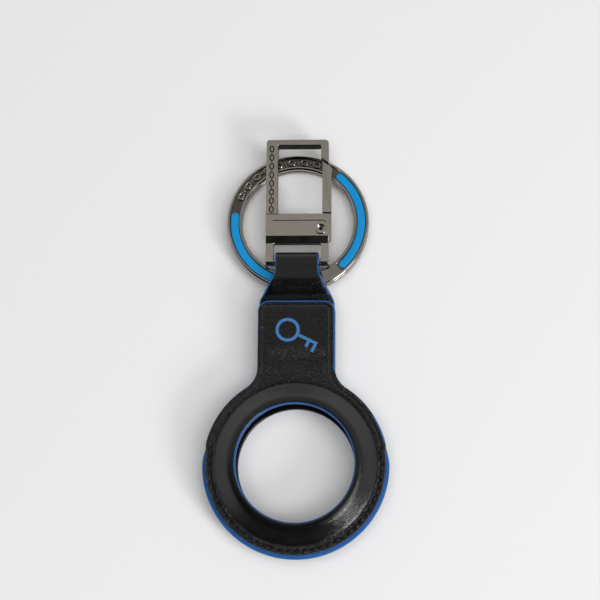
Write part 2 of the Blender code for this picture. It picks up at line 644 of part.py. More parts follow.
def gate_pin(material, parent, pivot):
    """The rivet that the gate turns on, with a low dished head on the hook's face."""
    face = BAR_Z + HOOK_THICKNESS / 2 + SEAT_GAP
    low = BAR_Z - HOOK_THICKNESS / 2
    top = face + PIN_HEAD_HEIGHT
    rings = [(PIN_RADIUS, low), (PIN_RADIUS, face), (PIN_HEAD_RADIUS, face)]
    rings += [(PIN_HEAD_RADIUS, top - PIN_HEAD_SLOPE), (PIN_HEAD_RADIUS - PIN_HEAD_SLOPE, top)]
    rings += [(PIN_DISH_RADIUS, top), (PIN_DISH_RADIUS - PIN_DISH_DEPTH, top - PIN_DISH_DEPTH)]
    sections = []
    for radius, z in rings:
        circle = arc(PIN_X, PIN_Y, radius, 0, 360, ROUND_SIDES)[:-1]
        sections.append([Vector((x, y, z)) for x, y in circle])
    return make_object("gate_pin", loft(sections), material, parent, pivot)


def gate_spring(material, parent, pivot):
    """The small coil spring in the block that pushes the gate shut."""
    start = SLOT_LEFT - SPRING_POCKET_DEPTH + SPRING_WIRE_RADIUS + SEAT_GAP
    end = GATE_LEFT - SPRING_WIRE_RADIUS - SEAT_GAP
    coil = SPRING_RADIUS - SPRING_WIRE_RADIUS
    count = SPRING_TURNS * POINTS_PER_COIL
    points = []
    for i in range(count + 1):
        a = 2 * math.pi * SPRING_TURNS * i / count
        x = start + (end - start) * i / count
        points.append(Vector((x, SPRING_Y + coil * math.cos(a), BAR_Z + coil * math.sin(a))))
    coiled = tube(points, SPRING_WIRE_RADIUS, Vector((1, 0, 0)))
    return make_object("gate_spring", coiled, material, parent, pivot)


def coil_section(depth):
    """Section of one coil, as offsets from the ring's middle line and heights, with its channel."""
    half, rise, cut = RING_BAND / 2, COIL_THICKNESS / 2, COIL_CHAMFER
    wall, floor = CHANNEL_WIDTH / 2, CHANNEL_WIDTH / 2 - CHANNEL_SLOPE
    section = [(-half + cut, -rise), (half - cut, -rise), (half, -rise + cut), (half, rise - cut)]
    section += [(half - cut, rise), (wall, rise), (floor, rise - depth)]
    section += [(-floor, rise - depth), (-wall, rise), (-half + cut, rise)]
    return section + [(-half, rise - cut), (-half, -rise + cut)]


def coil_stations():
    """Direction and channel depth along the ring, from the upper coil's end to the lower coil's."""
    start = SPLIT_DEGREES
    end = SPLIT_DEGREES + 720 - RAMP_DEGREES - 2 * SPLIT_GAP_DEGREES
    count = round(RING_STEPS_PER_TURN * (end - start) / 360)
    stations = [(start + (end - start) * i / count, None) for i in range(count + 1)]
    for first, last in (RIGHT_CHANNEL_DEGREES, TOP_CHANNEL_DEGREES, LEFT_CHANNEL_DEGREES):
        inside = (first + CHANNEL_END_DEGREES, last - CHANNEL_END_DEGREES)
        margin = 2 * CHANNEL_END_DEGREES
        stations = [s for s in stations if min(abs(s[0] - first), abs(s[0] - last)) > margin]
        stations = [(d, CHANNEL_DEPTH if inside[0] < d < inside[1] else depth) for d, depth in stations]
        stations += [(first, 0.0), (last, 0.0), (inside[0], CHANNEL_DEPTH), (inside[1], CHANNEL_DEPTH)]
    return sorted((degrees, depth or 0.0) for degrees, depth in stations)


def coil_height(degrees):
    """Height of the coil's middle: the upper level, a ramp down behind the split, then the lower."""
    level = (COIL_THICKNESS + COIL_GAP) / 2
    ramp_end = SPLIT_DEGREES + 360 - SPLIT_GAP_DEGREES
    share = min(max((degrees - (ramp_end - RAMP_DEGREES)) / RAMP_DEGREES, 0.0), 1.0)
    return level * (1 - 2 * share * share * (3 - 2 * share))


def key_ring(material, parent):
    """The split ring, one flat bar wound twice, in its own frame with its axis along Z."""
    sections = []
    for degrees, depth in coil_stations():
        a = math.radians(degrees)
        height = coil_height(degrees)
        section = coil_section(depth)
        sections.append([
            Vector(((RING_RADIUS + r) * math.cos(a), (RING_RADIUS + r) * math.sin(a), height + z))
            for r, z in section
        ])
    return make_object("key_ring", loft(sections), material, parent)


def ring_inlay(name, channel, material, parent):
    """A strip of coloured enamel in the channel, with round ends."""
    low = COIL_GAP / 2 + COIL_THICKNESS - CHANNEL_DEPTH + SEAT_GAP
    high = low + INLAY_THICKNESS
    first, last = channel[0] + INLAY_INSET_DEGREES, channel[1] - INLAY_INSET_DEGREES
    half = INLAY_WIDTH / 2
    cap = math.degrees(half / RING_RADIUS)
    quarter_turns = [share * math.pi / 2 for share in CAP_SHARES]
    lead = [(first + cap * (1 - math.cos(t)), half * math.sin(t)) for t in quarter_turns]
    body = [(d, half) for d in [first + cap] + arc_degrees(first + cap, last - cap) + [last - cap]]
    trail = [(first + last - degrees, width) for degrees, width in reversed(lead)]
    sections = []
    for degrees, width in lead + body + trail:
        a = math.radians(degrees)
        corners = ((-width, low), (width, low), (width, high), (-width, high))
        sections.append([
            Vector(((RING_RADIUS + r) * math.cos(a), (RING_RADIUS + r) * math.sin(a), z)) for r, z in corners
        ])
    return make_object(name, loft(sections), material, parent)


def make_empty(name, location, parent=None, tilt=0.0):
    empty = bpy.data.objects.new(name, None)
    bpy.context.collection.objects.link(empty)
    empty.parent = parent
    empty.location = location
    empty.rotation_euler = (tilt, 0.0, 0.0)
    return empty


def leather_goods(pocket):
    """All the leather with its thread, its welt and its magnets."""
    leather = make_material("black leather", (0.02, 0.02, 0.022), 0.45, 0.0)
    thread = make_material("black thread", (0.015, 0.015, 0.016), 0.8, 0.0)
    welt = make_material("blue leather", (0.04, 0.13, 0.36), 0.5, 0.0)
    steel = make_material("nickel plated magnet", (0.6, 0.6, 0.62), 0.3, 1.0)
    flap_pivot = (0.0, BEND_HEIGHT, MID_Z + CROWN)
    back_panel(leather, pocket)
    front_panel(leather, pocket)
    front_flap(leather, pocket, flap_pivot)
    rim_welt(welt, pocket)
    ring_stitching("front_stitching", 1, thread, pocket)
    ring_stitching("back_stitching", -1, thread, pocket)
    strap_tail(leather, pocket)
    tail_stitching("tail_stitching", TAIL_UPPER, 1, thread, pocket)
    tail_stitching("neck_stitching", MID_Z - FACE_OUT, -1, thread, pocket)
    magnets(steel, pocket, flap_pivot)
    strap_loop(leather, pocket, (0.0, FLEX_Y, FLEX_Z))


def snap_hook(pocket):
    """The hook on the strap, with its gate, pin and spring."""
    gunmetal = make_material("dark nickel plate", (0.26, 0.25, 0.24), 0.22, 1.0)
    steel = make_material("spring steel", (0.5, 0.5, 0.5), 0.3, 1.0)
    bar = (0.0, BAR_Y, BAR_Z)
    pin = (PIN_X, PIN_Y, BAR_Z)
    hook_frame(gunmetal, pocket, bar)
    hook_gate(gunmetal, pocket, pin)
    gate_pin(gunmetal, pocket, pin)
    gate_spring(steel, pocket, bar)


def ring_with_inlays(pocket):
    """The key ring and its two inlays, on an empty at the ring's centre."""
    gunmetal = make_material("dark nickel ring", (0.28, 0.27, 0.26), 0.18, 1.0)
    enamel = make_material("blue enamel", (0.02, 0.25, 0.52), 0.3, 0.0)
    centre = make_empty("ring_centre", (0.0, RING_Y, RING_Z), pocket, -RING_TILT)
    key_ring(gunmetal, centre)
    ring_inlay("ring_inlay_right", RIGHT_CHANNEL_DEGREES, enamel, centre)
    ring_inlay("ring_inlay_left", LEFT_CHANNEL_DEGREES, enamel, centre)


def main():
    clear_scene()
    pocket = make_empty("pocket_centre", (0.0, DISC_Y, 0.0))
    leather_goods(pocket)
    snap_hook(pocket)
    ring_with_inlays(pocket)
    joints = {
        "flap_open": (0.0, DISC_Y + BEND_HEIGHT, MID_Z + CROWN),
        "strap_flex": (0.0, DISC_Y + FLEX_Y, FLEX_Z),
        "hook_swing": (0.0, DISC_Y + BAR_Y, BAR_Z),
        "gate_open": (PIN_X, DISC_Y + PIN_Y, BAR_Z),
        "ring_turn": (0.0, DISC_Y + RING_Y, RING_Z),
    }
    for name, point in joints.items():
        print(name, [round(value, 6) for value in point])
    print("ring axis", [0.0, round(math.sin(RING_TILT), 5), round(math.cos(RING_TILT), 5)])


main()
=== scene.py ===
# %% [markdown]
# # A leather key holder, piece by piece
# The holder lies on its back: a ring-shaped leather pocket for a coin-size tracker tag, a flap, a folded
# strap, a gated snap hook and a split ring. The CAD frame gives every place and every joint. This lesson
# puts the finished surfaces on it: fine meshes over the plain solids, and materials made from nodes.

# %% Load the frame
import math

import bmesh
import bpy
from mathutils import Matrix, Vector, noise


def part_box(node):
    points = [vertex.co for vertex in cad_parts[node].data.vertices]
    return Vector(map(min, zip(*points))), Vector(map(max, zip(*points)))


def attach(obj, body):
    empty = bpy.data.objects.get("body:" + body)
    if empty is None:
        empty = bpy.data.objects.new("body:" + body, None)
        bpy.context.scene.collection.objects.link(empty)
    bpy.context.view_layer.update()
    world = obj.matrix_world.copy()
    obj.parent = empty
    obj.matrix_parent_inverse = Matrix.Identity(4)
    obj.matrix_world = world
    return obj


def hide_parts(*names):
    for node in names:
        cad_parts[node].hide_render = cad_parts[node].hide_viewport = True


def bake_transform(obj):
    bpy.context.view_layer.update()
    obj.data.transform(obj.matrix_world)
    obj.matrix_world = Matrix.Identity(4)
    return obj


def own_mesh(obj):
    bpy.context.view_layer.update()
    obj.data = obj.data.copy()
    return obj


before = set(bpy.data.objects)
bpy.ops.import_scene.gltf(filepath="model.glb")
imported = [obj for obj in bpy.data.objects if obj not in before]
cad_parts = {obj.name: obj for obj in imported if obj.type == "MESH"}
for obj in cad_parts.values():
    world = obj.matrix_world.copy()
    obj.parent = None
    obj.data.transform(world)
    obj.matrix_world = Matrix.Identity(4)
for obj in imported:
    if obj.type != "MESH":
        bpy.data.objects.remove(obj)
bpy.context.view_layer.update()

MM = 0.001

# %% [markdown]
# Lengths in this file are millimetres, because leather workers and hook makers think in them. The middle
# of the round pocket is the zero of the drawing, and one function carries a point of the drawing to its
# place in the scene. Its distance comes from the box of the welt, whose outer radius is 20.95 mm.

# %% The drawing's zero
WELT_RADIUS = 20.95
POCKET_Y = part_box("rim_welt")[0][1] / MM + WELT_RADIUS


def place(x, y, z):
    """A point of the drawing, in mm from the pocket's middle, as a point of the scene in metres."""
    return Vector((x, y + POCKET_Y, z)) * MM


print("pocket's middle at y =", round(POCKET_Y, 3), "mm")

# %% [markdown]
# The camera comes first, so that each piece can be judged in the photograph's own view. It looks down from
# 38 cm with a long lens, leans a little towards the pocket and stands a little to the right.

# %% Camera
CAMERA_TILT, CAMERA_SIDE, CAMERA_ROLL = 13.385, 2.675, 0.439
CAMERA_PLACE = (0.018, -0.07773, 0.37526)
lens = bpy.data.cameras.new("camera")
lens.lens = 100
lens.sensor_width = 36
camera = bpy.data.objects.new("camera", lens)
bpy.context.collection.objects.link(camera)
turn = Matrix.Rotation(math.radians(CAMERA_SIDE), 4, "Y")
turn = turn @ Matrix.Rotation(math.radians(CAMERA_TILT), 4, "X")
turn = turn @ Matrix.Rotation(math.radians(CAMERA_ROLL), 4, "Z")
camera.matrix_world = Matrix.Translation(CAMERA_PLACE) @ turn
bpy.context.scene.camera = camera
bpy.context.scene.view_settings.view_transform = "Standard"
print("camera at", [round(value, 4) for value in camera.matrix_world.translation])

# %% [markdown]
# Colours are written as the eye sees them, in sRGB hex. The shaders need linear light, so one function
# turns them over. One more adds a node with its settings and its links. No real surface is even, so each
# finish also gets a cloudy pattern that varies its colour and its roughness a little.

# %% Colours and nodes


def colour(text):
    """An sRGB hex colour as linear red, green, blue and alpha."""
    shares = [int(text[i:i + 2], 16) / 255 for i in (1, 3, 5)]
    return (*[s / 12.92 if s <= 0.04045 else ((s + 0.055) / 1.055) ** 2.4 for s in shares], 1.0)


def add(tree, kind, inputs=None, to=None, **settings):
    """Add a node; an input is a value, an output, or a node, which is linked by its first output."""
    made = tree.nodes.new(kind)
    for name, value in settings.items():
        setattr(made, name, value)
    for key, value in (inputs or {}).items():
        if isinstance(value, bpy.types.Node):
            value = value.outputs[0]
        if isinstance(value, bpy.types.NodeSocket):
            tree.links.new(value, made.inputs[key])
        else:
            made.inputs[key].default_value = value
    if to:
        tree.links.new(made.outputs[0], to)
    return made


def new_finish(name, **values):
    """A material with its main shader set; returns the material, its tree and the shader."""
    finish = bpy.data.materials.new(name)
    finish.use_nodes = True
    tree = finish.node_tree
    shader = tree.nodes["Principled BSDF"]
    for key, value in values.items():
        shader.inputs[key.replace("_", " ")].default_value = value
    return finish, tree, shader


def mottle(tree, shader, where, scale, detail, tones, gloss=None):
    """Vary a finish between two tones, and two values of roughness if given, by a cloudy pattern."""
    clouds = add(tree, "ShaderNodeTexNoise", {"Vector": where, "Scale": scale, "Detail": detail})
    dark, light = [colour(text) for text in tones]
    tone = add(tree, "ShaderNodeMix", {0: clouds, 6: dark, 7: light}, data_type="RGBA")
    tree.links.new(tone.outputs[2], shader.inputs["Base Color"])
    if gloss:
        smooth, worn = gloss
        add(tree, "ShaderNodeMapRange", {0: clouds, 1: 0.3, 2: 0.7, 3: smooth, 4: worn},
            to=shader.inputs["Roughness"])
    return clouds


def cloudy_finish(name, scale, detail, tones, gloss, strength, depth, **values):
    """A finish whose colour, roughness and relief, with its depth in metres, follow one cloudy pattern."""
    finish, tree, shader = new_finish(name, **values)
    where = add(tree, "ShaderNodeTexCoord").outputs["Object"]
    clouds = mottle(tree, shader, where, scale, detail, tones, gloss)
    add(tree, "ShaderNodeBump", {"Strength": strength, "Distance": depth, "Height": clouds},
        to=shader.inputs["Normal"])
    print(name, "with", len(tree.nodes), "nodes")
    return finish


print("a mid grey is", [round(value, 3) for value in colour("#808080")], "in linear light")

# %% [markdown]
# The ground is a sheet of pale grey paper. Its colour alone makes the background pale; the light stays at
# the level at which a colour looks as it is written. It lies a fiftieth of a millimetre under the holder.

# %% Ground
GROUND_REACH, GROUND_DROP = 1.6, 0.00002
paper, tree, shader = new_finish("grey_paper", Base_Color=colour("#e5e5e5"), Roughness=0.9)
shader.inputs["Specular IOR Level"].default_value = 0.1
fibres = add(tree, "ShaderNodeTexNoise", {"Scale": 900.0, "Detail": 3.0})
add(tree, "ShaderNodeBump", {"Strength": 0.05, "Distance": 0.0001, "Height": fibres},
    to=shader.inputs["Normal"])
ground_mesh = bpy.data.meshes.new("ground")
corners = ((-1, -1), (1, -1), (1, 1), (-1, 1))
ground_mesh.from_pydata([(x * GROUND_REACH, y * GROUND_REACH, -GROUND_DROP) for x, y in corners], [],
                        [(0, 1, 2, 3)])
ground_mesh.materials.append(paper)
ground = bpy.data.objects.new("ground", ground_mesh)
bpy.context.collection.objects.link(ground)
print("sheet of paper", 2 * GROUND_REACH, "m wide")

# %% [markdown]
# Polished metal and glossy leather are mostly reflection, so the room matters more than their colour. The
# room is a light grey tent, brighter near the ground. A black card hangs over the viewer's side of it. Its
# reflection draws the dark bevels, the black edges of the metal and the deep black of the dome. The camera,
# metal and gloss all see this room; what it adds to the plain light on the holder is one even, low level.

# %% Room
CARD_LEVEL, EVEN_LEVEL = 0.01, 0.2
world = bpy.data.worlds.new("studio")
bpy.context.scene.world = world
world.use_nodes = True
tree = world.node_tree
tree.nodes.clear()
where = add(tree, "ShaderNodeTexCoord")
across, ahead, height = add(tree, "ShaderNodeSeparateXYZ", {0: where.outputs["Generated"]}).outputs
sideways = add(tree, "ShaderNodeMath", {0: across}, operation="ABSOLUTE")
card = None
for value, clear, covered in ((ahead, 0.18, 0.12), (sideways, 0.92, 0.75), (height, -0.02, 0.06)):
    edge = add(tree, "ShaderNodeMapRange", {0: value, 1: clear, 2: covered, 3: 0.0, 4: 1.0},
               interpolation_type="SMOOTHSTEP")
    card = add(tree, "ShaderNodeMath", {0: card, 1: edge}, operation="MULTIPLY") if card else edge
roof = add(tree, "ShaderNodeMapRange", {0: ahead, 1: 0.265, 2: 0.335, 3: 0.8, 4: 0.42})
low = add(tree, "ShaderNodeMapRange", {0: height, 1: 0.8, 2: 0.25, 3: 0.0, 4: 1.0})
horizon = add(tree, "ShaderNodeMapRange", {0: ahead, 1: 0.25, 2: 0.8, 3: 0.76, 4: 1.0})
tent = add(tree, "ShaderNodeMix", {0: low, 2: roof, 3: horizon})
room = add(tree, "ShaderNodeMix", {0: card, 2: tent, 3: CARD_LEVEL})
seen = add(tree, "ShaderNodeLightPath").outputs
sharp = add(tree, "ShaderNodeMath", {0: seen["Is Camera Ray"], 1: seen["Is Glossy Ray"]}, operation="ADD")
shown = add(tree, "ShaderNodeMath", {0: sharp, 1: seen["Is Transmission Ray"]}, operation="ADD",
            use_clamp=True)
level = add(tree, "ShaderNodeMix", {0: shown, 2: EVEN_LEVEL, 3: room})
grey = add(tree, "ShaderNodeCombineColor", {0: level, 1: level, 2: level})
sky = add(tree, "ShaderNodeBackground", {"Color": grey, "Strength": 1.0})
add(tree, "ShaderNodeOutputWorld", {"Surface": sky})
print("room with", len(tree.nodes), "nodes")

# %% [markdown]
# Three square lamps finish the light. The window on the right throws the soft shadow to the left. A weaker
# one stands low beside it: the slope of the dome mirrors it in a soft streak, and the seam in specks.
# The wide one overhead only softens the shadows, so it is hidden from reflections.

# %% Lamps


def softbox(name, direction, distance, size, level):
    """A square lamp aimed at the holder; a white sheet under it alone would render at about this level."""
    lamp = bpy.data.lights.new(name, "AREA")
    lamp.size = size
    towards = Vector(direction).normalized()
    lamp.energy = level * math.pi ** 2 * distance ** 2 / towards.z
    item = bpy.data.objects.new(name, lamp)
    bpy.context.collection.objects.link(item)
    item.location = towards * distance
    item.rotation_euler = towards.to_track_quat("Z", "Y").to_euler()
    return item


window = softbox("window_light", (0.56, -0.27, 0.78), distance=1.2, size=0.48, level=0.18)
low_window = softbox("low_side_window", (0.665, -0.575, 0.47), distance=1.2, size=0.3, level=0.2)
fill = softbox("overhead_fill", (0.05, -0.1, 0.99), distance=5.0, size=4.6, level=0.645)
fill.visible_glossy = False
print("lamps", [item.name for item in (window, low_window, fill)])

# %% [markdown]
# Black leather: chrome-tanned, drum-dyed, pressed smooth and sealed with a soft gloss. Its grain is a net of
# tiny cells, about 0.3 mm across; it is drawn at 0.45 mm, so that it still shows at this distance. Where the
# leather is pulled by the thread or bends, an attribute named crease lets longer wrinkles through, 0.5 to
# 0.7 mm apart. The dye and the gloss vary in patches of about 4 mm.

# %% Black leather
GRAIN_SCALE, LINE_SCALE, SHIFT = 2200.0, 1500.0, 0.0005
GRAIN_DEPTH, WRINKLE_DEPTH = 0.00003, 0.00028
leather, tree, shader = new_finish("black_grained_leather", IOR=1.5)
where = add(tree, "ShaderNodeTexCoord").outputs["Object"]
mottle(tree, shader, where, 260.0, 3.0, ("#070707", "#0f0e0e"), (0.19, 0.27))
wander = add(tree, "ShaderNodeTexNoise", {"Vector": where, "Scale": 900.0, "Detail": 2.0})
shifted = add(tree, "ShaderNodeVectorMath", {0: wander.outputs["Color"], 1: (SHIFT, SHIFT, SHIFT)},
              operation="MULTIPLY")
bent = add(tree, "ShaderNodeVectorMath", {0: where, 1: shifted}, operation="ADD")
cells, lines = [
    add(tree, "ShaderNodeTexVoronoi", {"Vector": bent, "Scale": scale}, feature="DISTANCE_TO_EDGE")
    for scale in (GRAIN_SCALE, LINE_SCALE)
]
grain = add(tree, "ShaderNodeMapRange", {0: cells, 1: 0.0, 2: 0.25, 3: 0.0, 4: 1.0})
fine = add(tree, "ShaderNodeBump", {"Strength": 0.4, "Distance": GRAIN_DEPTH, "Height": grain})
folds = add(tree, "ShaderNodeTexNoise",
            {"Vector": where, "Scale": 1900.0, "Detail": 6.0, "Roughness": 0.6, "Distortion": 0.8})
pulled = add(tree, "ShaderNodeMapRange", {0: lines, 1: 0.0, 2: 0.3, 3: 0.0, 4: 0.6})
both = add(tree, "ShaderNodeMath", {0: folds, 1: pulled}, operation="ADD")
crease = add(tree, "ShaderNodeAttribute", attribute_name="crease")
deep = add(tree, "ShaderNodeMath", {0: both, 1: crease.outputs["Fac"]}, operation="MULTIPLY")
add(tree, "ShaderNodeBump", {"Strength": 1.0, "Distance": WRINKLE_DEPTH, "Height": deep, "Normal": fine},
    to=shader.inputs["Normal"])
print(leather.name, "with", len(tree.nodes), "nodes")

# %% [markdown]
# Blue edge paint: a thick acrylic that the maker rolls along each cut edge in two or three coats and rubs
# smooth between them. It lies in a soft bead, a little uneven every 2 or 3 mm along the edge.

# %% Edge paint
edge_paint = cloudy_finish("blue_edge_paint", 420.0, 4.0, ("#0f4888", "#1e5b9b"), (0.36, 0.5), 0.3, 0.00006,
                           Specular_IOR_Level=0.3)

# %% [markdown]
# Waxed thread: polyester, two plies laid together and drawn through black wax, so it is darker than the
# leather and shines in small points. Its fibres are far too fine to show and are drawn at 0.1 mm.

# %% Waxed thread
thread = cloudy_finish("waxed_black_thread", 9000.0, 2.0, ("#060606", "#111110"), (0.35, 0.6), 0.5, 0.00003,
                       IOR=1.5)

# %% [markdown]
# The metal is a zinc casting, or steel in the ring, plated with dark nickel, which the trade calls gunmetal:
# a warm grey mirror, slightly brushed by tumbling in fine scratches about 0.2 mm apart. The same nodes make
# six finishes, from the satin hook and the polished ring to the magnets and the spring wire, with other
# colours and other roughness, so one function builds them all.

# %% Dark nickel


def nickel(name, tones, gloss, scratch_depth):
    """Nickel plate: two tones, a lowest and a highest roughness, and the depth of its fine scratches."""
    finish, tree, shader = new_finish(name, Metallic=1.0)
    where = add(tree, "ShaderNodeTexCoord").outputs["Object"]
    mottle(tree, shader, where, 500.0, 4.0, tones, gloss)
    along = add(tree, "ShaderNodeMapping", {"Vector": where, "Scale": (1.0, 0.12, 1.0)})
    scratches = add(tree, "ShaderNodeTexNoise", {"Vector": along, "Scale": 6000.0, "Detail": 2.0})
    add(tree, "ShaderNodeBump", {"Strength": 0.4, "Distance": scratch_depth, "Height": scratches},
        to=shader.inputs["Normal"])
    print(name, "with", len(tree.nodes), "nodes")
    return finish


satin_nickel = nickel("satin_dark_nickel", ("#9a948b", "#a8a298"), (0.17, 0.25), 0.000004)
polished_nickel = nickel("polished_dark_nickel", ("#99948e", "#a6a19b"), (0.07, 0.13), 0.0000015)
# A dark plate: blackening in the engraving, and painted shade on the walls of the hook's windows and in the
# rivet's pit.
blackened_and_painted_shade = nickel("blackened_recess_and_painted_shade", ("#2a2623", "#3d3833"), (0.35, 0.5), 0.00001)
antiqued = nickel("antiqued_dark_nickel", ("#57524d", "#77726b"), (0.18, 0.32), 0.000008)
bright_nickel = nickel("bright_nickel_magnet", ("#bcbab5", "#cac8c4"), (0.18, 0.28), 0.000004)
spring_wire = nickel("drawn_spring_wire", ("#9a9a98", "#aeadab"), (0.2, 0.32), 0.000004)

# %% [markdown]
# Blue enamel: a two-part resin poured into the ring's channel, where it draws itself into a low crown. The
# print on the flap is a foil, pressed on hot, with a slightly patchy film.

# %% Enamel and print
enamel = cloudy_finish("poured_blue_enamel", 2500.0, 4.0, ("#0f80bc", "#188fce"), (0.25, 0.38), 0.15, 0.00002,
                       Specular_IOR_Level=0.12, Coat_Weight=0.12, Coat_Roughness=0.1)
foil = cloudy_finish("blue_pressed_foil", 1500.0, 4.0, ("#2c6094", "#3e77aa"), None, 0.2, 0.00003, IOR=1.5,
                     Roughness=0.45)

# %% [markdown]
# Most pieces are skins over rows of points: a section is drawn once, repeated along a line, and neighbours
# are joined by four-sided faces. A skin that closes on itself, such as the pocket's ring, needs no ends.

# %% Skins and pieces
SHARP, LEATHER_SHARP, WELD = 40.0, 60.0, 1e-7


def skin(rows, closed=False, paint=None):
    """Join closed rows of points by faces; closed joins the last row to the first, paint picks a finish."""
    data = bmesh.new()
    grid = [[data.verts.new(point) for point in row] for row in rows]
    following = grid[1:] + (grid[:1] if closed else [])
    for i, (row, after) in enumerate(zip(grid, following)):
        for k in range(len(row)):
            j = (k + 1) % len(row)
            face = data.faces.new((row[k], row[j], after[j], after[k]))
            face.material_index = paint(i, k) if paint else 0
    if not closed:
        for row in (grid[0], grid[-1]):
            face = data.faces.new(row)
            face.material_index = paint(0, 0) if paint else 0
    return data


def make_piece(name, data, finishes, body=None, stands_for=(), sharp=SHARP):
    """Turn a bmesh into a piece with its finishes and its body."""
    bmesh.ops.remove_doubles(data, verts=data.verts, dist=WELD)
    bmesh.ops.recalc_face_normals(data, faces=data.faces)
    mesh = bpy.data.meshes.new(name)
    data.to_mesh(mesh)
    data.free()
    for finish in finishes:
        mesh.materials.append(finish)
    mesh.shade_smooth()
    mesh.set_sharp_from_angle(angle=math.radians(sharp))
    piece = bpy.data.objects.new(name, mesh)
    bpy.context.collection.objects.link(piece)
    if stands_for:
        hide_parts(*stands_for)
    if body:
        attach(piece, body)
    print(name, "has", len(mesh.polygons), "faces")
    return piece


def bake(piece):
    """Keep the result of a piece's modifiers as its mesh."""
    graph = bpy.context.evaluated_depsgraph_get()
    result = bpy.data.meshes.new_from_object(piece.evaluated_get(graph), depsgraph=graph)
    piece.modifiers.clear()
    old = piece.data
    piece.data = result
    bpy.data.meshes.remove(old)


def settle(piece):
    """Let broad flat faces keep their own direction, so that only the rims between them look round."""
    piece.modifiers.new("even", "WEIGHTED_NORMAL").keep_sharp = True
    bake(piece)


def cut(piece, data, operation="DIFFERENCE", finishes=()):
    """Cut a bmesh out of a piece, or join it on, and keep the result as the piece's mesh."""
    bmesh.ops.recalc_face_normals(data, faces=data.faces)
    tool_mesh = bpy.data.meshes.new("tool")
    data.to_mesh(tool_mesh)
    data.free()
    for finish in finishes:
        tool_mesh.materials.append(finish)
    tool = bpy.data.objects.new("tool", tool_mesh)
    bpy.context.collection.objects.link(tool)
    boolean = piece.modifiers.new("cut", "BOOLEAN")
    boolean.operation = operation
    boolean.solver = "EXACT"
    boolean.material_mode = "TRANSFER"
    boolean.object = tool
    bake(piece)
    bpy.data.objects.remove(tool, do_unlink=True)
    piece.data.set_sharp_from_angle(angle=math.radians(SHARP))


def gather(parts):
    """Several bmeshes as one."""
    whole = bmesh.new()
    for part in parts:
        held = bpy.data.meshes.new("held")
        part.to_mesh(held)
        part.free()
        whole.from_mesh(held)
        bpy.data.meshes.remove(held)
    return whole


def arc(cx, cy, radius, start, end, steps):
    """Points on an arc, with its angles in degrees."""
    angles = [math.radians(start + (end - start) * i / steps) for i in range(steps + 1)]
    return [(cx + radius * math.cos(a), cy + radius * math.sin(a)) for a in angles]


def full_turn(count):
    """The directions, in radians, of evenly spaced points round a circle."""
    return [2 * math.pi * k / count for k in range(count)]


def ease(low, high, value):
    """A smooth step from 0 at low to 1 at high."""
    t = min(max((value - low) / (high - low), 0.0), 1.0)
    return t * t * (3 - 2 * t)


def leftward(line, k, closed=False):
    """The direction to the left of a line at one of its points."""
    if closed:
        before, after = line[k - 1], line[(k + 1) % len(line)]
    else:
        before, after = line[max(k - 1, 0)], line[min(k + 1, len(line) - 1)]
    along = (Vector(after) - Vector(before)).normalized()
    return Vector((-along.y, along.x))


print("a step half way is", ease(0, 1, 0.5))

# %% [markdown]
# The pocket is two leathers of the same outline: a disc that grows a little wider past the last stitch, and
# a neck that leaves it in two hollow curves. The outline is walked in steps of about 0.4 mm, and at each
# step the direction straight out of the edge is kept, so that lines can be drawn parallel to the edge.

# %% Outline of the leathers
CROWN_R, INNER_FOOT = 14.4, 16.05
SEWN, OPEN = 20.15, 20.65
NECK_HALF, FILLET, FILLET_Y = 8.8, 5.5, 21.89
STITCH_R, FIRST_STITCH = 19.25, 10.5
MIDDLE, IN, OUT, DOME = 4.8, 0.6, 1.9, 2.9
MAGNET_Y, SEAT_R = 30.3, 3.3
NECK_TOP, NECK_CORNER, BACK_TOP, BACK_CORNER = 37.5, 2.5, 36.99, 1.75


def openness(x, y, first=FIRST_STITCH, run=4.0):
    """0 on the sewn half of the disc, 1 on the open half and the neck."""
    turned = math.degrees(math.atan2(y, abs(x)))
    return ease(first, first + run, turned)


def walk_outline(top, corner, step=0.36):
    """Points round a leather at even steps, each with the direction straight out of the edge."""
    lean = math.degrees(math.atan2(FILLET_Y, NECK_HALF + FILLET))
    half = []
    for degree in range(-90, int(lean) + 1):
        a = math.radians(degree)
        r = SEWN + (OPEN - SEWN) * openness(math.cos(a), math.sin(a), first=6.0, run=8.0)
        half.append((r * math.cos(a), r * math.sin(a)))
    half += arc(NECK_HALF + FILLET, FILLET_Y, FILLET, 180 + lean, 180, 12)
    half += arc(NECK_HALF - corner, top - corner, corner, 0, 90, 12)
    half.append((0.0, top))
    whole = half + [(-x, y) for x, y in reversed(half[1:-1])]
    lengths = [0.0]
    for (ax, ay), (bx, by) in zip(whole, whole[1:] + whole[:1]):
        lengths.append(lengths[-1] + math.hypot(bx - ax, by - ay))
    count = round(lengths[-1] / step)
    points, k = [], 0
    for i in range(count):
        goal = lengths[-1] * i / count
        while lengths[k + 1] < goal:
            k += 1
        share = (goal - lengths[k]) / max(lengths[k + 1] - lengths[k], 1e-9)
        a, b = Vector(whole[k]), Vector(whole[(k + 1) % len(whole)])
        points.append(a + (b - a) * share)
    return [(point, -leftward(points, i, closed=True)) for i, point in enumerate(points)]


print("steps round the front leather:", len(walk_outline(NECK_TOP, NECK_CORNER)))

# %% [markdown]
# The front leather is one skin. Each section starts at the painted edge, crosses the rim, where it has a
# groove for the thread on the sewn half and a pressed line on the open half, climbs the dome, turns over the
# lip of the hole and comes back inside. The dome's curve was wet-formed over a block of the tag's shape. Each
# row of the rim's table is a way in from the edge, the open and the sewn height, and the thread's pull there.

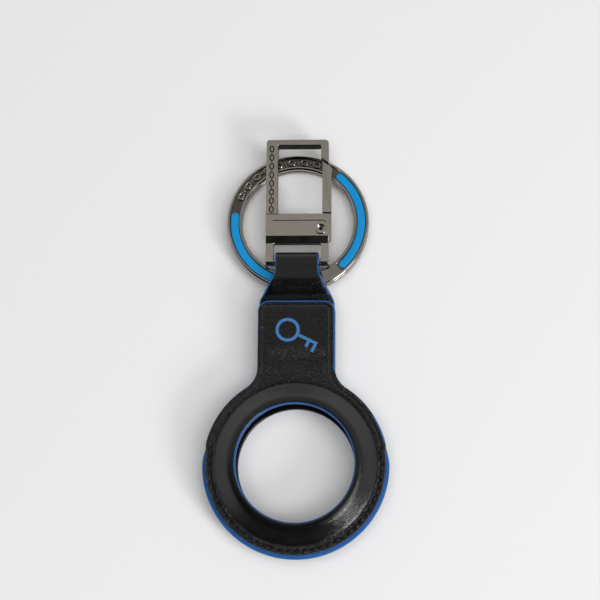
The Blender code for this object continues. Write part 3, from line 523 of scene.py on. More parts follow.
# %% Section of a leather
EDGE = ((0.36, 0.0), (0.13, 0.09), (0.02, 0.32), (0.0, 0.65), (0.02, 0.98), (0.13, 1.21), (0.36, 1.3))
RIM = ((0.36, -0.07, -0.04, 0.2), (0.55, -0.04, -0.02, 0.4), (0.72, -0.03, -0.08, 0.7),
       (0.88, -0.05, -0.18, 1.0), (1.0, -0.1, -0.22, 1.0), (1.12, -0.13, -0.19, 1.0),
       (1.27, -0.1, -0.11, 0.7), (1.42, 0.0, -0.03, 0.4), (1.75, 0.04, 0.03, 0.0))
TOP_R, BALL_R, FILLET_R, STEEPEST = 13.74, 2.7, 0.4, 40.0
LIP = ((13.62, -0.02), (13.52, -0.07), (13.42, -0.15), (13.32, -0.28), (13.24, -0.48), (13.2, -0.8),
       (13.2, -1.2), (13.3, -1.5), (13.5, -1.6))
FLAT_STEPS, INNER_STEPS = 14, 7
SPAN, PITCH, DIP = 180 + 2 * FIRST_STITCH, 1.8, 0.2
STITCHES = round(STITCH_R * math.radians(SPAN) / PITCH)


def dome_height(share):
    """Height of the dome's inside over its rim, from the crown (share 0) to the foot (share 1)."""
    x = min(max((share - 0.08) / 0.92, 0.0), 1.0)
    return DOME * max(1 - x ** 2.4, 0.0) ** 0.8


def dome_profile():
    """The dome from its foot to its crown: a fillet, a cone and a round top, as (radius, height) rows."""
    a = math.radians(STEEPEST)
    cone_r, cone_up = TOP_R + BALL_R * math.sin(a), DOME - BALL_R * (1 - math.cos(a))
    foot = [(FILLET_R * (math.sin(a) - math.sin(a * k / 4)), FILLET_R * (1 - math.cos(a * k / 4)))
            for k in range(5)]
    run = (cone_up - foot[-1][1]) / math.tan(a)
    rows = [(cone_r + run + r, up) for r, up in foot]
    rows += [(cone_r + run * (1 - k / 4), cone_up - run * (1 - k / 4) * math.tan(a)) for k in range(1, 5)]
    tops = [a * (1 - k / 12) for k in range(1, 13)]
    return rows + [(TOP_R + BALL_R * math.sin(t), DOME - BALL_R * (1 - math.cos(t))) for t in tops]


PROFILE = dome_profile()
print("the dome's foot is at a radius of", round(PROFILE[0][0], 2), "mm")


def leather_row(edge, outward, side):
    """One closed section of a leather: side is 1 for the front leather and -1 for the back one."""

    def at(flat_point, height):
        return place(flat_point.x, flat_point.y, MIDDLE + side * height)

    free = openness(edge.x, edge.y)
    turned = (FIRST_STITCH - math.degrees(math.atan2(edge.y, edge.x))) % 360
    dip = DIP * (1 - free) * (0.5 + 0.5 * math.cos(2 * math.pi * turned / SPAN * STITCHES)) ** 2
    row = [at(edge - outward * inset, IN + up) for inset, up in EDGE[:-1]]
    for inset, open_up, sewn_up, pull in RIM:
        row.append(at(edge - outward * inset, OUT + sewn_up + (open_up - sewn_up) * free - dip * pull))
    last = edge - outward * RIM[-1][0]
    ray = last.normalized()
    start = ray * (PROFILE[0][0] + 0.1)
    row += [at(last.lerp(start, i / FLAT_STEPS), OUT + 0.02) for i in range(1, FLAT_STEPS + 1)]
    row += [at(ray * r, OUT + up) for r, up in PROFILE]
    row += [at(ray * r, OUT + DOME + up) for r, up in LIP]
    for i in range(INNER_STEPS):
        share = (i / (INNER_STEPS - 1)) ** 0.8
        row.append(at(ray * (CROWN_R + (INNER_FOOT - CROWN_R) * share), IN + dome_height(share)))
    row += [at((ray * INNER_FOOT).lerp(last, t), IN) for t in (0.3, 0.65, 1.0)]
    return row


print("points in one section:", len(leather_row(Vector((20.65, 0.0)), Vector((1.0, 0.0)), 1)))

# %% [markdown]
# Paint, puckers and wrinkles follow rules, so that they end where the real ones do: the paint at the edge
# and on the lip of the hole, the puckers and the wrinkles where the thread or a bend pulls the leather. Right
# of the open half the paint laps wider over the rim, a painted highlight where the light catches its bead.

# %% Paint, puckers and wrinkles
RIM_FIRST = len(EDGE) - 1
LIP_FIRST = RIM_FIRST + len(RIM) + FLAT_STEPS + len(PROFILE)
THICK_TOP, SHADED_CURVE_Y = 36.5, (11.0, 21.0)


def leather_paint(stations, lip_first, lip_last):
    """Blue paint on the cut edges and on the given rows of the hole's lip, black leather elsewhere.

    It laps over the rim at the neck's top. Right of the open half it laps over too, as a painted highlight
    where the light catches the bead, except in the hollow curve, which stays narrow as painted shade.
    """

    def choose(i, k):
        point = stations[i][0]
        free = openness(point.x, point.y) > 0.5
        in_shaded_curve = SHADED_CURVE_Y[0] < point.y < SHADED_CURVE_Y[1]
        # On the open half's right side the wider paint is a painted highlight; in the hollow curve it stays
        # narrow as painted shade.
        lapped_or_lit = point.y > THICK_TOP or (free and point.x > 0 and not in_shaded_curve)
        painted = k < (RIM_FIRST if lapped_or_lit else RIM_FIRST - 1 if free else RIM_FIRST - 2)
        return 1 if painted or LIP_FIRST + lip_first <= k <= LIP_FIRST + lip_last else 0

    return choose


def drawn(vertex):
    """A point of a piece in the drawing's millimetres."""
    return vertex.co.x / MM, vertex.co.y / MM - POCKET_Y, vertex.co.z / MM


def ruffle(piece, depth, rule):
    """Pucker the leather: move its points by a smooth noise, as far as the rule allows at each."""
    for vertex in piece.data.vertices:
        x, y, z = drawn(vertex)
        share = rule(x, y, z)
        if share > 0:
            broad, fine = Vector((x * 0.9, y * 0.9, z * 0.3)), Vector((x, y, z)) * 2.3
            wave = noise.noise(broad) + 0.5 * noise.noise(fine)
            vertex.co += vertex.normal * wave * depth * share * MM


def mark_creases(piece, rule):
    """Store how wrinkled the leather is at each point, for its material."""
    layer = piece.data.attributes.new("crease", "FLOAT", "POINT")
    for i, vertex in enumerate(piece.data.vertices):
        layer.data[i].value = rule(*drawn(vertex))


def magnet_seat(low, high, sides=40):
    """A round cutter for the seat of a magnet, in the flap or in the strap's tail."""
    circle = arc(0, MAGNET_Y, SEAT_R, 0, 360, sides)[:-1]
    return skin([[place(x, y, z) for x, y in circle] for z in (low, high)])


def make_leather(name, stations, side, lips, stands_for, body=None):
    """One leather of the pocket, with the first and the last painted row of its lip."""
    data = skin([leather_row(*station, side) for station in stations], True, leather_paint(stations, *lips))
    return make_piece(name, data, (leather, edge_paint), body, stands_for, LEATHER_SHARP)


print("the lip of the hole starts at row", LIP_FIRST, "of a section")

# %% [markdown]
# The front leather crosses the hinge line: its lower half is sewn down, and its upper half peels up with the
# flap. It is one skin, as the real leather is.

# %% Front leather
BEND_Y, PUCKER = 4.5, 0.08


def rim_pucker(x, y, z):
    """The seam puckers the rim most; the open half stays nearly flat."""
    return ease(17.9, 18.6, math.hypot(x, y)) * (1 - 0.7 * openness(x, y))


def leather_creases(x, y, z):
    """Strong wrinkles along the seam, faint ones elsewhere, and a row where the tail's seam presses up."""
    rim = ease(17.9, 18.5, math.hypot(x, y)) * ease(24.0, 21.0, y)
    pressed = math.exp(-((y - 25.4) / 0.8) ** 2) * ease(7.0, 6.0, abs(x))
    flat = 0.03 + 0.2 * ease(18.0, 19.5, math.hypot(x, y))
    return min(1.0, flat + rim * (0.55 - 0.45 * openness(x, y)) + 0.45 * pressed)


front = make_leather("front_leather", walk_outline(NECK_TOP, NECK_CORNER), 1, (1, 7),
                     ("front_panel", "front_flap"))
cut(front, magnet_seat(5.0, 6.13), finishes=(leather,))
ruffle(front, PUCKER, rim_pucker)
mark_creases(front, leather_creases)
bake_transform(front)

# %% [markdown]
# The back leather is the same section turned over. Its neck ends in the strap.

# %% Back leather
back = make_leather("back_leather", walk_outline(BACK_TOP, BACK_CORNER, step=0.6), -1, (2, 4),
                    ("back_panel",), "holder")
ruffle(back, PUCKER, rim_pucker)
mark_creases(back, leather_creases)

# %% [markdown]
# Between the leathers of the sewn half lies a welt, a strip that keeps them a tag's edge apart. It stands
# 0.8 mm proud and is painted blue, and towards its two ends it draws back to the leather in long ramps.

# %% Welt
WELT_END, WELT_INNER, WELT_STEPS = 4.35, WELT_RADIUS - 2.6, 260
lean = math.degrees(math.asin(WELT_END / SEWN))
welt_span = 180 + 2 * lean
rows = []
for i in range(WELT_STEPS + 1):
    a = math.radians(lean - welt_span * i / WELT_STEPS)
    from_end = welt_span * min(i, WELT_STEPS - i) / WELT_STEPS
    out = WELT_RADIUS - 0.4 * ease(13.5, 0.0, from_end) - 0.5 * ease(1.0, 0.0, from_end)
    section = ((WELT_INNER, 4.24), (out - 0.3, 4.24), (out - 0.1, 4.3), (out, 4.5), (out, 5.1),
               (out - 0.1, 5.3), (out - 0.3, 5.36), (WELT_INNER, 5.36))
    rows.append([place(r * math.cos(a), r * math.sin(a), z) for r, z in section])
make_piece("painted_welt", skin(rows), (edge_paint,), body="holder", stands_for=("rim_welt",))

# %% [markdown]
# The strap is one band of thinner leather. Its tail lies under the flap, the front run climbs over the key
# ring, the fold turns round the hook's bar, and the rear run passes under the ring and back into the neck.
# It is drawn as a section swept along a side view of that path.

# %% Path of the strap
STRAP_HALF_THICK, FOLD_HALF, TAIL_INSET = 0.55, 5.0, 1.0
STRAP_PATH = (
    (23.49, 4.78), (28.0, 4.78), (33.0, 4.78), (36.4, 4.78), (37.4, 4.81), (38.2, 5.0), (39.325, 5.268),
    (40.45, 6.26), (42.1, 6.98), (44.4, 7.04), (46.75, 7.031), (47.95, 6.533), (48.45, 5.331),
    (47.95, 3.166), (45.95, 1.0), (42.1, 1.0), (40.45, 1.248), (39.325, 2.24), (38.3, 3.35),
    (37.2, 3.53), (35.2, 3.55),
)
FLARE = ((0.0, 0.0), (0.16, 0.05), (0.38, 0.28), (0.68, 0.64), (0.9, 0.87), (1.0, 0.95))


def read(table, value):
    """Read a table of (position, value) rows between its rows."""
    value = min(max(value, table[0][0]), table[-1][0])
    for (low, a), (high, b) in zip(table, table[1:]):
        if value <= high:
            return a + (b - a) * (value - low) / (high - low)
    return table[-1][1]


def curve_through(points, steps):
    """A smooth line through the points, with the given steps between two of them."""
    points = [Vector(point) for point in points]
    ends = [2 * points[0] - points[1]] + points + [2 * points[-1] - points[-2]]
    line = []
    for i in range(len(points) - 1):
        p0, p1, p2, p3 = ends[i:i + 4]
        for k in range(steps):
            t = k / steps
            bend = 2 * p1 + (p2 - p0) * t + (2 * p0 - 5 * p1 + 4 * p2 - p3) * t ** 2
            line.append((bend + (3 * p1 - p0 - 3 * p2 + p3) * t ** 3) / 2)
    return line + [points[-1]]


def strap_half(y, front_run):
    """Half the strap's width: narrow at the fold, as wide as the neck below, a little less in the tail."""
    smooth = sum(read(FLARE, (44.5 - y + shift) / 7.0) for shift in (-0.5, -0.25, 0.0, 0.25, 0.5)) / 5
    wide = FOLD_HALF + (NECK_HALF - FOLD_HALF) * smooth
    return wide - TAIL_INSET * ease(36.9, 34.0, y) if front_run else wide


line = curve_through(STRAP_PATH, 10)
print("strap's length along its middle:",
      round(sum((b - a).length for a, b in zip(line, line[1:])), 1), "mm")

# %% [markdown]
# The section is a flat band with soft painted edges. It is 1.1 mm thick, and as wide as the path asks at each
# step. It is one skin from the tail under the flap round the fold to the end of the rear run in the neck.

# %% Strap
ACROSS = 14
BAND_EDGE = ((0.3, 1.0), (0.1, 0.84), (0.02, 0.45), (0.0, 0.0), (0.02, -0.45), (0.1, -0.84), (0.3, -1.0))
fold_index = max(range(len(line)), key=lambda k: line[k].x)
rows = []
for k, point in enumerate(line):
    out = leftward(line, k)
    half = strap_half(point.x, k <= fold_index)
    inner = half - BAND_EDGE[0][0]
    section = [(-inner + 2 * inner * i / ACROSS, 1.0) for i in range(ACROSS)]
    section += [(half - inset, up) for inset, up in BAND_EDGE]
    section += [(inner - 2 * inner * i / ACROSS, -1.0) for i in range(1, ACROSS)]
    section += [(-half + inset, up) for inset, up in reversed(BAND_EDGE)][:-1]
    sides = [(x, point + out * (up * STRAP_HALF_THICK)) for x, up in section]
    rows.append([place(x, side.x, side.y) for x, side in sides])
right_edge = range(ACROSS, ACROSS + 6)
left_edge = range(2 * ACROSS + 5, 2 * ACROSS + 13)


def strap_paint(i, k):
    """Blue paint on the band's two edges, black leather elsewhere."""
    return 1 if k in right_edge or k in left_edge else 0


def strap_creases(x, y, z):
    """Faint wrinkles, a little stronger where the front run climbs."""
    return 0.08 + 0.1 * ease(43.0, 40.5, y) * ease(36.0, 38.0, y)


def strap_pucker(x, y, z):
    """The front run ripples a little where it climbs, the rear run less."""
    return ease(43.0, 40.0, y) * ease(36.8, 38.0, y) * (1 if z > 4.4 else 0.3)


strap = make_piece("strap", skin(rows, False, strap_paint), (leather, edge_paint),
                   stands_for=("strap_tail", "strap_loop"), sharp=LEATHER_SHARP)
cut(strap, magnet_seat(4.6, 6.0), finishes=(leather,))
ruffle(strap, 0.03, strap_pucker)
mark_creases(strap, strap_creases)
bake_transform(strap)

# %% [markdown]
# Every stitch is made by itself. The needle thread comes out of one hole, lies on the leather for about a
# millimetre and a half, and goes down at the next. The two plies twist round each other, and a hand-sewn
# stitch leans a few degrees. The stitches sit in their groove, so they wear less than the leather.

# %% Stitches
TAIL_SEAMS = (("tail_seam", 1, "tail_stitching", 5.28), ("neck_seam", -1, "neck_stitching", 2.95))
TAIL_STITCHES, TAIL_PITCH, TAIL_SEAM_X, TAIL_SEAM_Y = 6, 1.88, -4.7, 25.29


def stitch(middle, along, up, length, radius, plies=2):
    """One stitch as rows of points: a twisted thread that dives into the leather at both ends."""
    across = along.cross(up).normalized()
    rows = []
    for i in range(11):
        t = i / 10
        bow = 4 * t * (1 - t)
        centre = middle + along * length * (t - 0.5) + up * radius * (1.3 * bow - 1.15)
        reach = radius * (0.55 + 0.45 * min(1.0, bow * 2.2))
        row = []
        for a in full_turn(10):
            lobe = 0.84 + 0.16 * abs(math.cos(a * plies / 2 - t * 5.0))
            row.append(centre + (across * math.cos(a) + up * math.sin(a)) * reach * lobe)
        rows.append(row)
    return rows


def sew(name, places, body, stands_for, length=1.45, radius=0.24):
    """A seam of separate stitches, each given by its middle, its direction and the way up."""
    data = gather(skin(stitch(*where, length * MM, radius * MM)) for where in places)
    return make_piece(name, data, (thread,), body=body, stands_for=stands_for)


for name, side, node in (("front_seam", 1, "front_stitching"), ("back_seam", -1, "back_stitching")):
    places = []
    for i in range(STITCHES):
        a = math.radians(FIRST_STITCH - SPAN * (i + 0.5) / STITCHES)
        out = Vector((math.cos(a), math.sin(a), 0))
        along = Vector((-math.sin(a), math.cos(a), 0)) * 0.99 + out * 0.14 * side
        middle = place(STITCH_R * out.x, STITCH_R * out.y, MIDDLE + side * (OUT - 0.12))
        places.append((middle, along.normalized(), Vector((0, 0, side))))
    sew(name, places, "holder", (node,))
print("stitches in each seam:", STITCHES)

for name, side, node, z in TAIL_SEAMS:
    middles = [place(TAIL_SEAM_X + TAIL_PITCH * i, TAIL_SEAM_Y, z) for i in range(TAIL_STITCHES)]
    places = [(middle, Vector((1, 0, 0)), Vector((0, 0, side))) for middle in middles]
    sew(name, places, "holder", (node,), length=1.5, radius=0.14)

# %% [markdown]
# The hook is one zinc casting. Its face is flat and 3.3 mm above its back, and below the block a bevel takes
# it down to thin legs that hold the bar. It is drawn as a flat plate from the front, cut into strips where
# its thickness changes, thickened, and then every rim gets a small round, as tumbling gives a casting.

# %% Hook body
BAR_Y, BAR_Z = 46.75, 5.331
HALF, THIN = 1.65, 0.9
PIN_X, PIN_UP = 5.45, 7.5


def rounded(points, radii, steps=5):
    """A polygon whose corners are turned into small arcs of the given radii."""
    result = []
    for i, point in enumerate(points):
        here, before, after = Vector(point), Vector(points[i - 1]), Vector(points[(i + 1) % len(points)])
        radius = radii[i]
        if not radius:
            result.append(here)
            continue
        back, on = (before - here).normalized(), (after - here).normalized()
        angle = back.angle(on)
        run = radius / math.tan(angle / 2)
        centre = here + (back + on).normalized() * radius / math.sin(angle / 2)
        start, end = here + back * run - centre, here + on * run - centre
        swing = start.angle_signed(end)
        for k in range(steps + 1):
            a = -swing * k / steps
            turned = Vector((start.x * math.cos(a) - start.y * math.sin(a),
                             start.x * math.sin(a) + start.y * math.cos(a)))
            result.append(centre + turned)
    return result


def hook_half(up):
    """Half the hook's thickness at a height over the middle of its bar."""
    if up < 0:
        return math.sqrt(max(THIN ** 2 - up ** 2, 0.0))
    return read(((0.0, THIN), (4.3, THIN), (5.8, HALF), (40.0, HALF)), up)


def thicken(outline, levels, half_at):
    """A plate from its outline, cut across at the levels, with the given half thickness at each height."""
    data = bmesh.new()
    data.faces.new([data.verts.new((x, y, 0)) for x, y in outline])
    for level in levels:
        bmesh.ops.bisect_plane(
            data, geom=data.verts[:] + data.edges[:] + data.faces[:], plane_co=(0, level, 0),
            plane_no=(0, 1, 0), dist=1e-5,
        )
    lower = data.verts[:]
    raised = bmesh.ops.extrude_face_region(data, geom=data.faces[:])["geom"]
    for vertex in raised:
        if isinstance(vertex, bmesh.types.BMVert):
            vertex.co.z = half_at(vertex.co.y)
    for vertex in lower:
        vertex.co.z = -half_at(vertex.co.y)
    bmesh.ops.recalc_face_normals(data, faces=data.faces)
    return data


def round_rims(data, width, least=30.0, segments=3):
    """Round the rims: every edge that isn't upright and turns by more than the least angle."""
    rims = []
    for edge in data.edges:
        flat = abs((edge.verts[0].co - edge.verts[1].co).normalized().z) < 0.9
        if flat and len(edge.link_faces) == 2 and edge.calc_face_angle() > math.radians(least):
            rims.append(edge)
    bmesh.ops.bevel(data, geom=rims, offset=width, segments=segments, profile=0.5, affect="EDGES")


def to_hook(data):
    """Carry a bmesh drawn about the hook's bar, in mm, to its place in the scene."""
    for vertex in data.verts:
        x, up, z = vertex.co
        vertex.co = place(x, BAR_Y + up, BAR_Z + z)
    return data


HOOK_CORNERS = ((-7.25, -0.88), (-5.45, -0.88), (-5.45, 4.3), (5.45, 4.3), (5.45, -0.88), (7.25, -0.88),
                (7.25, 11.15), (-4.6, 11.15), (-4.6, 27.7), (5.45, 27.7), (5.45, 24.6), (7.25, 23.2),
                (7.25, 29.05), (-7.25, 29.05))
HOOK_RADII = (0, 0, 0.5, 0.5, 0, 0, 0.15, 0.35, 0.35, 0.35, 0.1, 0.1, 0.9, 0.7)
HOOK_LEVELS = (-0.8, -0.65, -0.45, -0.2, 0.0, 4.18, 4.3, 4.42, 5.68, 5.8, 5.92)
WINDOWS = ((-4.7, 5.6, 11.0, 27.8), (-5.6, 5.6, -1.0, 4.4))
data = thicken(rounded(HOOK_CORNERS, HOOK_RADII), HOOK_LEVELS, hook_half)
round_rims(data, 0.13)
# The walls of both windows take the dark plate: a painted dark reflection.
for face in data.faces:
    x, y, z = face.calc_center_median()
    wall = abs(face.normal.z) < 0.3
    if wall and any(left < x < right and low < y < high for left, right, low, high in WINDOWS):
        face.material_index = 1
hook = make_piece("hook_body", to_hook(data), (satin_nickel, blackened_and_painted_shade), body="hook",
                  stands_for=("hook_frame",), sharp=30.0)

# %% [markdown]
# The casting is then worked: a slot is milled for the gate's tongue, a hole drilled for the rivet, a line is
# engraved under the block's top edge, and a plain chain is engraved down the left leg. The blackened plate
# stays in the engraving when the faces are buffed. The same dark plate on the walls of the windows is a
# painted dark reflection.

# %% Slot, bar and engraving


def prism(outline, low, high):
    """A bmesh over an outline in the hook's own drawing, between two heights."""
    return to_hook(skin([[Vector((x, y, z)) for x, y in outline] for z in (low, high)]))


def box_outline(left, right, low, high):
    """The corners of an upright rectangle."""
    return [(left, low), (right, low), (right, high), (left, high)]


def groove(line, width, depth, top, closed=False):
    """A V-shaped cutter along a line on the hook's face."""
    rows = []
    for k, point in enumerate(line):
        here, across = Vector(point), leftward(line, k, closed) * width / 2
        a, b = here + across * 1.5, here - across * 1.5
        rows.append([Vector((a.x, a.y, top + depth / 2)), Vector((b.x, b.y, top + depth / 2)),
                     Vector((here.x, here.y, top - depth))])
    return to_hook(skin(rows, closed))


def pin_hole():
    """A cutter for the rivet's hole, right through the hook or the gate's tongue."""
    return prism(arc(PIN_X, PIN_UP, 0.5, 0, 360, 24)[:-1], -3, 3)


BAR_R, BAR_END = 0.8, 6.3
LEG_X, FIRST_LINK, LINK_PITCH, LINKS = -6.0, 12.2, 2.08, 8
cut(hook, prism(box_outline(3.75, 8.0, 4.5, 12.0), -0.8, 0.8), finishes=(satin_nickel,))
cut(hook, pin_hole(), finishes=(satin_nickel,))
bar = [[Vector((x, BAR_R * math.cos(a), BAR_R * math.sin(a))) for a in full_turn(32)]
       for x in (-BAR_END, BAR_END)]
cut(hook, to_hook(skin(bar)), "UNION", (satin_nickel,))
line = [(-5.65, 9.54), (4.6, 9.54)] + arc(PIN_X, PIN_UP, 2.04, 108, 52, 8)
cut(hook, groove(line, 0.2, 0.14, HALF), finishes=(blackened_and_painted_shade,))
cut(hook, groove([(-7.5, 11.1), (-4.4, 11.1)], 0.18, 0.1, HALF), finishes=(blackened_and_painted_shade,))
links = []
for i in range(LINKS):
    middle = FIRST_LINK + LINK_PITCH * i
    oval = [(LEG_X + 0.44 * math.cos(a), middle + 0.68 * math.sin(a)) for a in full_turn(20)]
    links.append(groove(oval, 0.26, 0.17, HALF, closed=True))
    if i < LINKS - 1:
        dash = box_outline(LEG_X - 0.13, LEG_X + 0.13, middle + 0.86, middle + 1.22)
        links.append(prism(rounded(dash, [0.12] * 4, 3), HALF - 0.15, HALF + 0.3))
cut(hook, gather(links), finishes=(blackened_and_painted_shade,))
settle(hook)
print("hook body has", len(hook.data.polygons), "faces")

# %% [markdown]
# The gate is a bar that closes the window, with a nose that fits the slant of the hook's stub and a thinner
# tongue that runs in the slot and turns on a rivet. The rivet's head is dished.

# %% Gate and rivet
GATE_HALF, TONGUE_HALF = 1.3, 0.7
arm = rounded([(5.75, 11.45), (7.85, 11.45), (7.85, 22.3), (7.25, 22.9), (5.75, 24.067)],
              [0.1, 0.1, 0.15, 0.15, 0.1])
data = thicken(arm, (), lambda up: GATE_HALF)
round_rims(data, 0.14)
gate = make_piece("spring_gate", to_hook(data), (satin_nickel,), body="gate",
                  stands_for=("hook_gate",), sharp=30.0)
tongue = arc(PIN_X, PIN_UP, 1.4, 150, 270, 16)
tongue += [(7.55, 4.8), (7.85, 5.1), (7.85, 11.7), (6.0, 11.7), (6.0, 8.9)]
data = thicken(tongue, (), lambda up: TONGUE_HALF)
round_rims(data, 0.1)
cut(gate, to_hook(data), "UNION", (satin_nickel,))
cut(gate, pin_hole(), finishes=(satin_nickel,))
settle(gate)

profile = ((0.45, -HALF), (0.45, HALF + 0.02), (1.24, HALF + 0.02), (1.3, HALF + 0.08), (1.3, HALF + 0.2),
           (1.24, HALF + 0.3), (1.13, HALF + 0.34), (1.02, HALF + 0.31), (0.94, HALF + 0.2),
           (0.88, HALF + 0.1), (0.6, HALF + 0.04), (0.5, HALF - 0.02), (0.42, HALF - 0.3),
           (0.08, HALF - 0.36))
rows = [[Vector((x, y, z)) for x, y in arc(PIN_X, PIN_UP, r, 0, 360, 40)[:-1]] for r, z in profile]
# The last rows, the pit in the middle of the dish, take the dark plate as painted shade.
make_piece("dished_rivet", to_hook(skin(rows, False, lambda i, k: 1 if i >= len(profile) - 3 else 0)),
           (satin_nickel, blackened_and_painted_shade), body="hook", stands_for=("gate_pin",), sharp=50.0)

# %% [markdown]
# On the real hook a small coil spring sits in a drilled pocket of the block and pushes the gate shut. The
# pocket isn't cut in this hook, so the inner part of the coil lies in solid metal, out of sight. When the
# gate opens, its tongue presses the spring together.

# %% Gate spring
low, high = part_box("gate_spring")
SPRING_UP, COIL_R, WIRE_R, TURNS = 9.65, 0.3, 0.1, 6
first, last = low[0] / MM + WIRE_R, high[0] / MM - WIRE_R
wire = arc(0, 0, WIRE_R, 0, 360, 8)[:-1]
rows = []
for k in range(TURNS * 20 + 1):
    share = k / (TURNS * 20)
    a = 2 * math.pi * TURNS * share
    radial = Vector((0, math.cos(a), math.sin(a)))
    centre = Vector((first + (last - first) * (0.7 * share + 0.3 * ease(0, 1, share)), SPRING_UP, 0))
    rows.append([centre + radial * (COIL_R + x) + Vector((y, 0, 0)) for x, y in wire])
spring = make_piece("coil_spring", to_hook(skin(rows)), (spring_wire,), body="hook",
                    stands_for=("gate_spring",), sharp=60.0)
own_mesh(spring)

# %% [markdown]
# The key ring is flat steel bar wound twice, so a key can be worked in between the coils. It is swept round
# in its own frame and then tilted, because its near side rides up inside the strap. A channel is milled in
# the upper coil: its two sides take enamel, and at the top a plain chain is left standing in it.

# %% Key ring
RING_R, BAND, COIL, GAP, CHAMFER = 14.7, 3.55, 1.35, 0.1, 0.36
RING_Y, RING_Z, RING_TILT = 56.8, 2.417, math.radians(3.4)
SPLIT, RAMP = -66.0, 26.0
CHANNEL_HALF, CHANNEL_DEPTH = 1.08, 0.4
CHANNEL = (-49.5, 257.0)
INLAYS = ((CHANNEL[0], 53.5), (169.5, CHANNEL[1]))


def to_ring(degrees, radius, z):
    """A point of the ring's own frame, by its direction and its distance from the axis."""
    a = math.radians(degrees)
    x, y = radius * math.cos(a), radius * math.sin(a)
    c, s = math.cos(RING_TILT), math.sin(RING_TILT)
    return place(x, RING_Y + y * c + z * s, RING_Z - y * s + z * c)


def coil_level(degrees):
    """Height of the bar's middle: the upper turn, a ramp behind the split, then the lower turn."""
    ramp_end = SPLIT + 360 - 2.0
    share = ease(ramp_end - RAMP, ramp_end, degrees)
    return (COIL + GAP) / 2 * (1 - 2 * share)


def channel_depth(degrees):
    """Depth of the channel, with a short slope at each end."""
    low, high = CHANNEL
    return CHANNEL_DEPTH * ease(low, low + 0.8, degrees) * ease(high, high - 0.8, degrees)


def coil_section(depth):
    """The bar's section, as distances from its middle line and heights, with rounded chamfers."""
    w, h, c = BAND / 2, COIL / 2, CHAMFER
    corner = [(0.0, c), (0.07, c * 0.5), (c * 0.5, 0.07), (c, 0.0)]
    outer_top = [(w - a, h - b) for a, b in corner]
    outer_low = [(w - a, -h + b) for a, b in reversed(corner)]
    floor = h - depth
    share = depth / CHANNEL_DEPTH
    wall = [(CHANNEL_HALF + 0.05, h), (CHANNEL_HALF, h - 0.04 * share),
            (CHANNEL_HALF - 0.06, floor + 0.06 * share), (CHANNEL_HALF - 0.14, floor)]
    right = outer_low + outer_top + wall
    return right + [(-x, z) for x, z in reversed(right)]


end = SPLIT + 720 - RAMP - 4.0
stations = {SPLIT + (end - SPLIT) * i / 330 for i in range(331)}
for low, high in (CHANNEL, CHANNEL[::-1]):
    inward = 0.4 if low < high else -0.4
    stations |= {low, low + inward, low + 2 * inward}
stations = sorted(stations)
rows = [[to_ring(degrees, RING_R + r, coil_level(degrees) + z)
         for r, z in coil_section(channel_depth(degrees))] for degrees in stations]


def ring_paint(i, k):
    """The channel's walls and floor keep their antiqued plate."""
    return 1 if 9 <= k <= 13 and channel_depth(stations[i]) > 0.2 else 0


make_piece("key_ring_coils", skin(rows, False, ring_paint), (polished_nickel, antiqued),
           body="ring", stands_for=("key_ring",), sharp=35.0)

# %% [markdown]
# The enamel strips fill most of their channels. Their tops are crowned, and their ends are round.

# %% Enamel strips
FLOOR = GAP / 2 + COIL - CHANNEL_DEPTH + 0.03
INLAY_GAP = 1.5


def pad_rows(first, last, half, low, rim, crown, steps):
    """A crowned pad along the ring with round ends, as rows of points."""
    cap = math.degrees(half / RING_R)
    turns = [math.pi / 2 * (k + 0.35) / 6 for k in range(6)]
    lead = [(first + cap * (1 - math.cos(t)), math.sin(t)) for t in turns]
    body = [(first + cap + (last - first - 2 * cap) * k / steps, 1.0) for k in range(steps + 1)]
    trail = [(first + last - degrees, share) for degrees, share in reversed(lead)]
    rows = []
    for degrees, share in lead + body + trail:
        w = half * share
        top = [(w * math.cos(t), rim + (crown - rim) * math.sin(t) ** 0.7 * share) for t in
               [math.pi * k / 12 for k in range(13)]]
        rows.append([to_ring(degrees, RING_R + r, z) for r, z in [(-w, low), (w, low)] + top])
    return rows


for name, channel in zip(("ring_inlay_right", "ring_inlay_left"), INLAYS):
    rows = pad_rows(channel[0] + INLAY_GAP, channel[1] - INLAY_GAP, half=0.87, low=FLOOR, rim=FLOOR + 0.2,
                    crown=FLOOR + 0.31, steps=40)
    make_piece(name.replace("ring_inlay", "enamel_strip"), skin(rows), (enamel,), body="ring",
               stands_for=(name,), sharp=50.0)

# %% [markdown]
# The chain of oval links and round studs is a plain trim, such as a die leaves when the bar is coined. Each
# one is drawn flat, as a rounded wire or a button, and then bent round the ring. Its crests are polished with
# the rims, and the floor between them stays darker.

# %% Chain trim


def on_channel(degrees, along, across, up):
    """A point over the channel's floor, by its way along the ring and across it."""
    return to_ring(degrees + math.degrees(along / RING_R), RING_R + across, FLOOR + up)


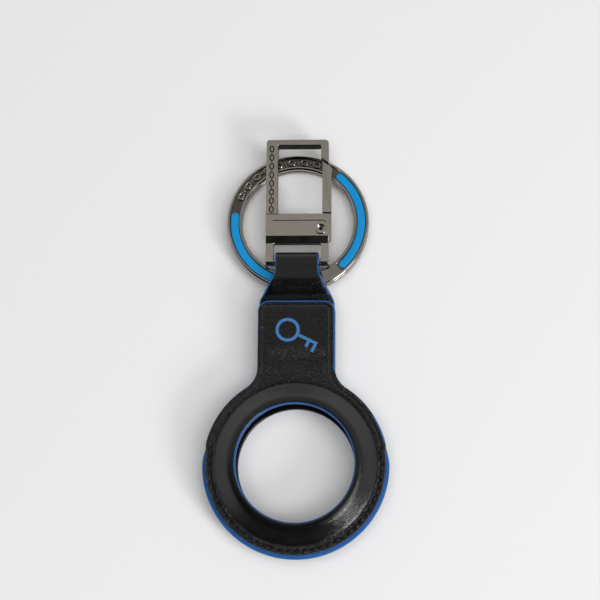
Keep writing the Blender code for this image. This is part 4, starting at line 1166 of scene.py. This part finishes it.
WIRE = ((-0.24, -0.02), (-0.24, 0.16), (-0.16, 0.29), (0.0, 0.33), (0.16, 0.29), (0.24, 0.16), (0.24, -0.02))
BUTTON = ((0.33, -0.02), (0.33, 0.16), (0.25, 0.28), (0.1, 0.33), (0.02, 0.33))
TRIM_FIRST, TRIM_PITCH, TRIM_LINKS = 61.5, 11.6, 9
trim = []
for i in range(TRIM_LINKS):
    degrees = TRIM_FIRST + TRIM_PITCH * i
    link = [[on_channel(degrees, (0.8 + r) * math.cos(a), (0.6 + r) * math.sin(a), up) for r, up in WIRE]
            for a in full_turn(32)]
    trim.append(skin(link, True))
    if i < TRIM_LINKS - 1:
        stud = [[on_channel(degrees + TRIM_PITCH / 2, r * math.cos(a), r * math.sin(a), up)
                 for a in full_turn(16)] for r, up in BUTTON]
        trim.append(skin(stud))
make_piece("chain_trim", gather(trim), (polished_nickel,), body="ring", sharp=50.0)

# %% [markdown]
# A plain key is printed on the flap in blue foil. It is a flat film, a few hundredths of a millimetre thick,
# so it is a very thin solid that lies on the leather and moves with the flap.

# %% Printed key
PRINT_LOW, PRINT_HIGH, PRINT_Y, PRINT_TURN = 6.68, 6.745, 29.6, -26.0


def on_flap(x, y, z):
    """A point of the print's own drawing, turned a little and set in the middle of the flap."""
    a = math.radians(PRINT_TURN)
    return place(x * math.cos(a) - y * math.sin(a), PRINT_Y + x * math.sin(a) + y * math.cos(a), z)


def flap_prism(outline):
    """A film of the print's thickness over an outline."""
    return skin([[on_flap(x, y, z) for x, y in outline] for z in (PRINT_LOW, PRINT_HIGH)])


bow = [(2.75, PRINT_LOW), (2.75, PRINT_HIGH), (2.05, PRINT_HIGH), (2.05, PRINT_LOW)]
rows = [[on_flap(-2.2 + r * math.cos(a), r * math.sin(a), z) for r, z in bow] for a in full_turn(48)]
mark = make_piece("printed_key", skin(rows, True), (foil,), body="flap", sharp=30.0)
for outline in (box_outline(0.2, 5.3, -0.35, 0.35), box_outline(4.6, 5.3, -2.2, 0.35),
                box_outline(2.9, 3.6, -1.7, 0.35)):
    cut(mark, flap_prism(outline), "UNION", (foil,))

# %% [markdown]
# The two magnets keep their CAD shapes, which are right, and get their own finish.

# %% Finishes for the solids that stay
for node in ("flap_magnet", "tail_magnet"):
    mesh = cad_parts[node].data
    mesh.materials.clear()
    mesh.materials.append(bright_nickel)
    print(node, "gets", bright_nickel.name)
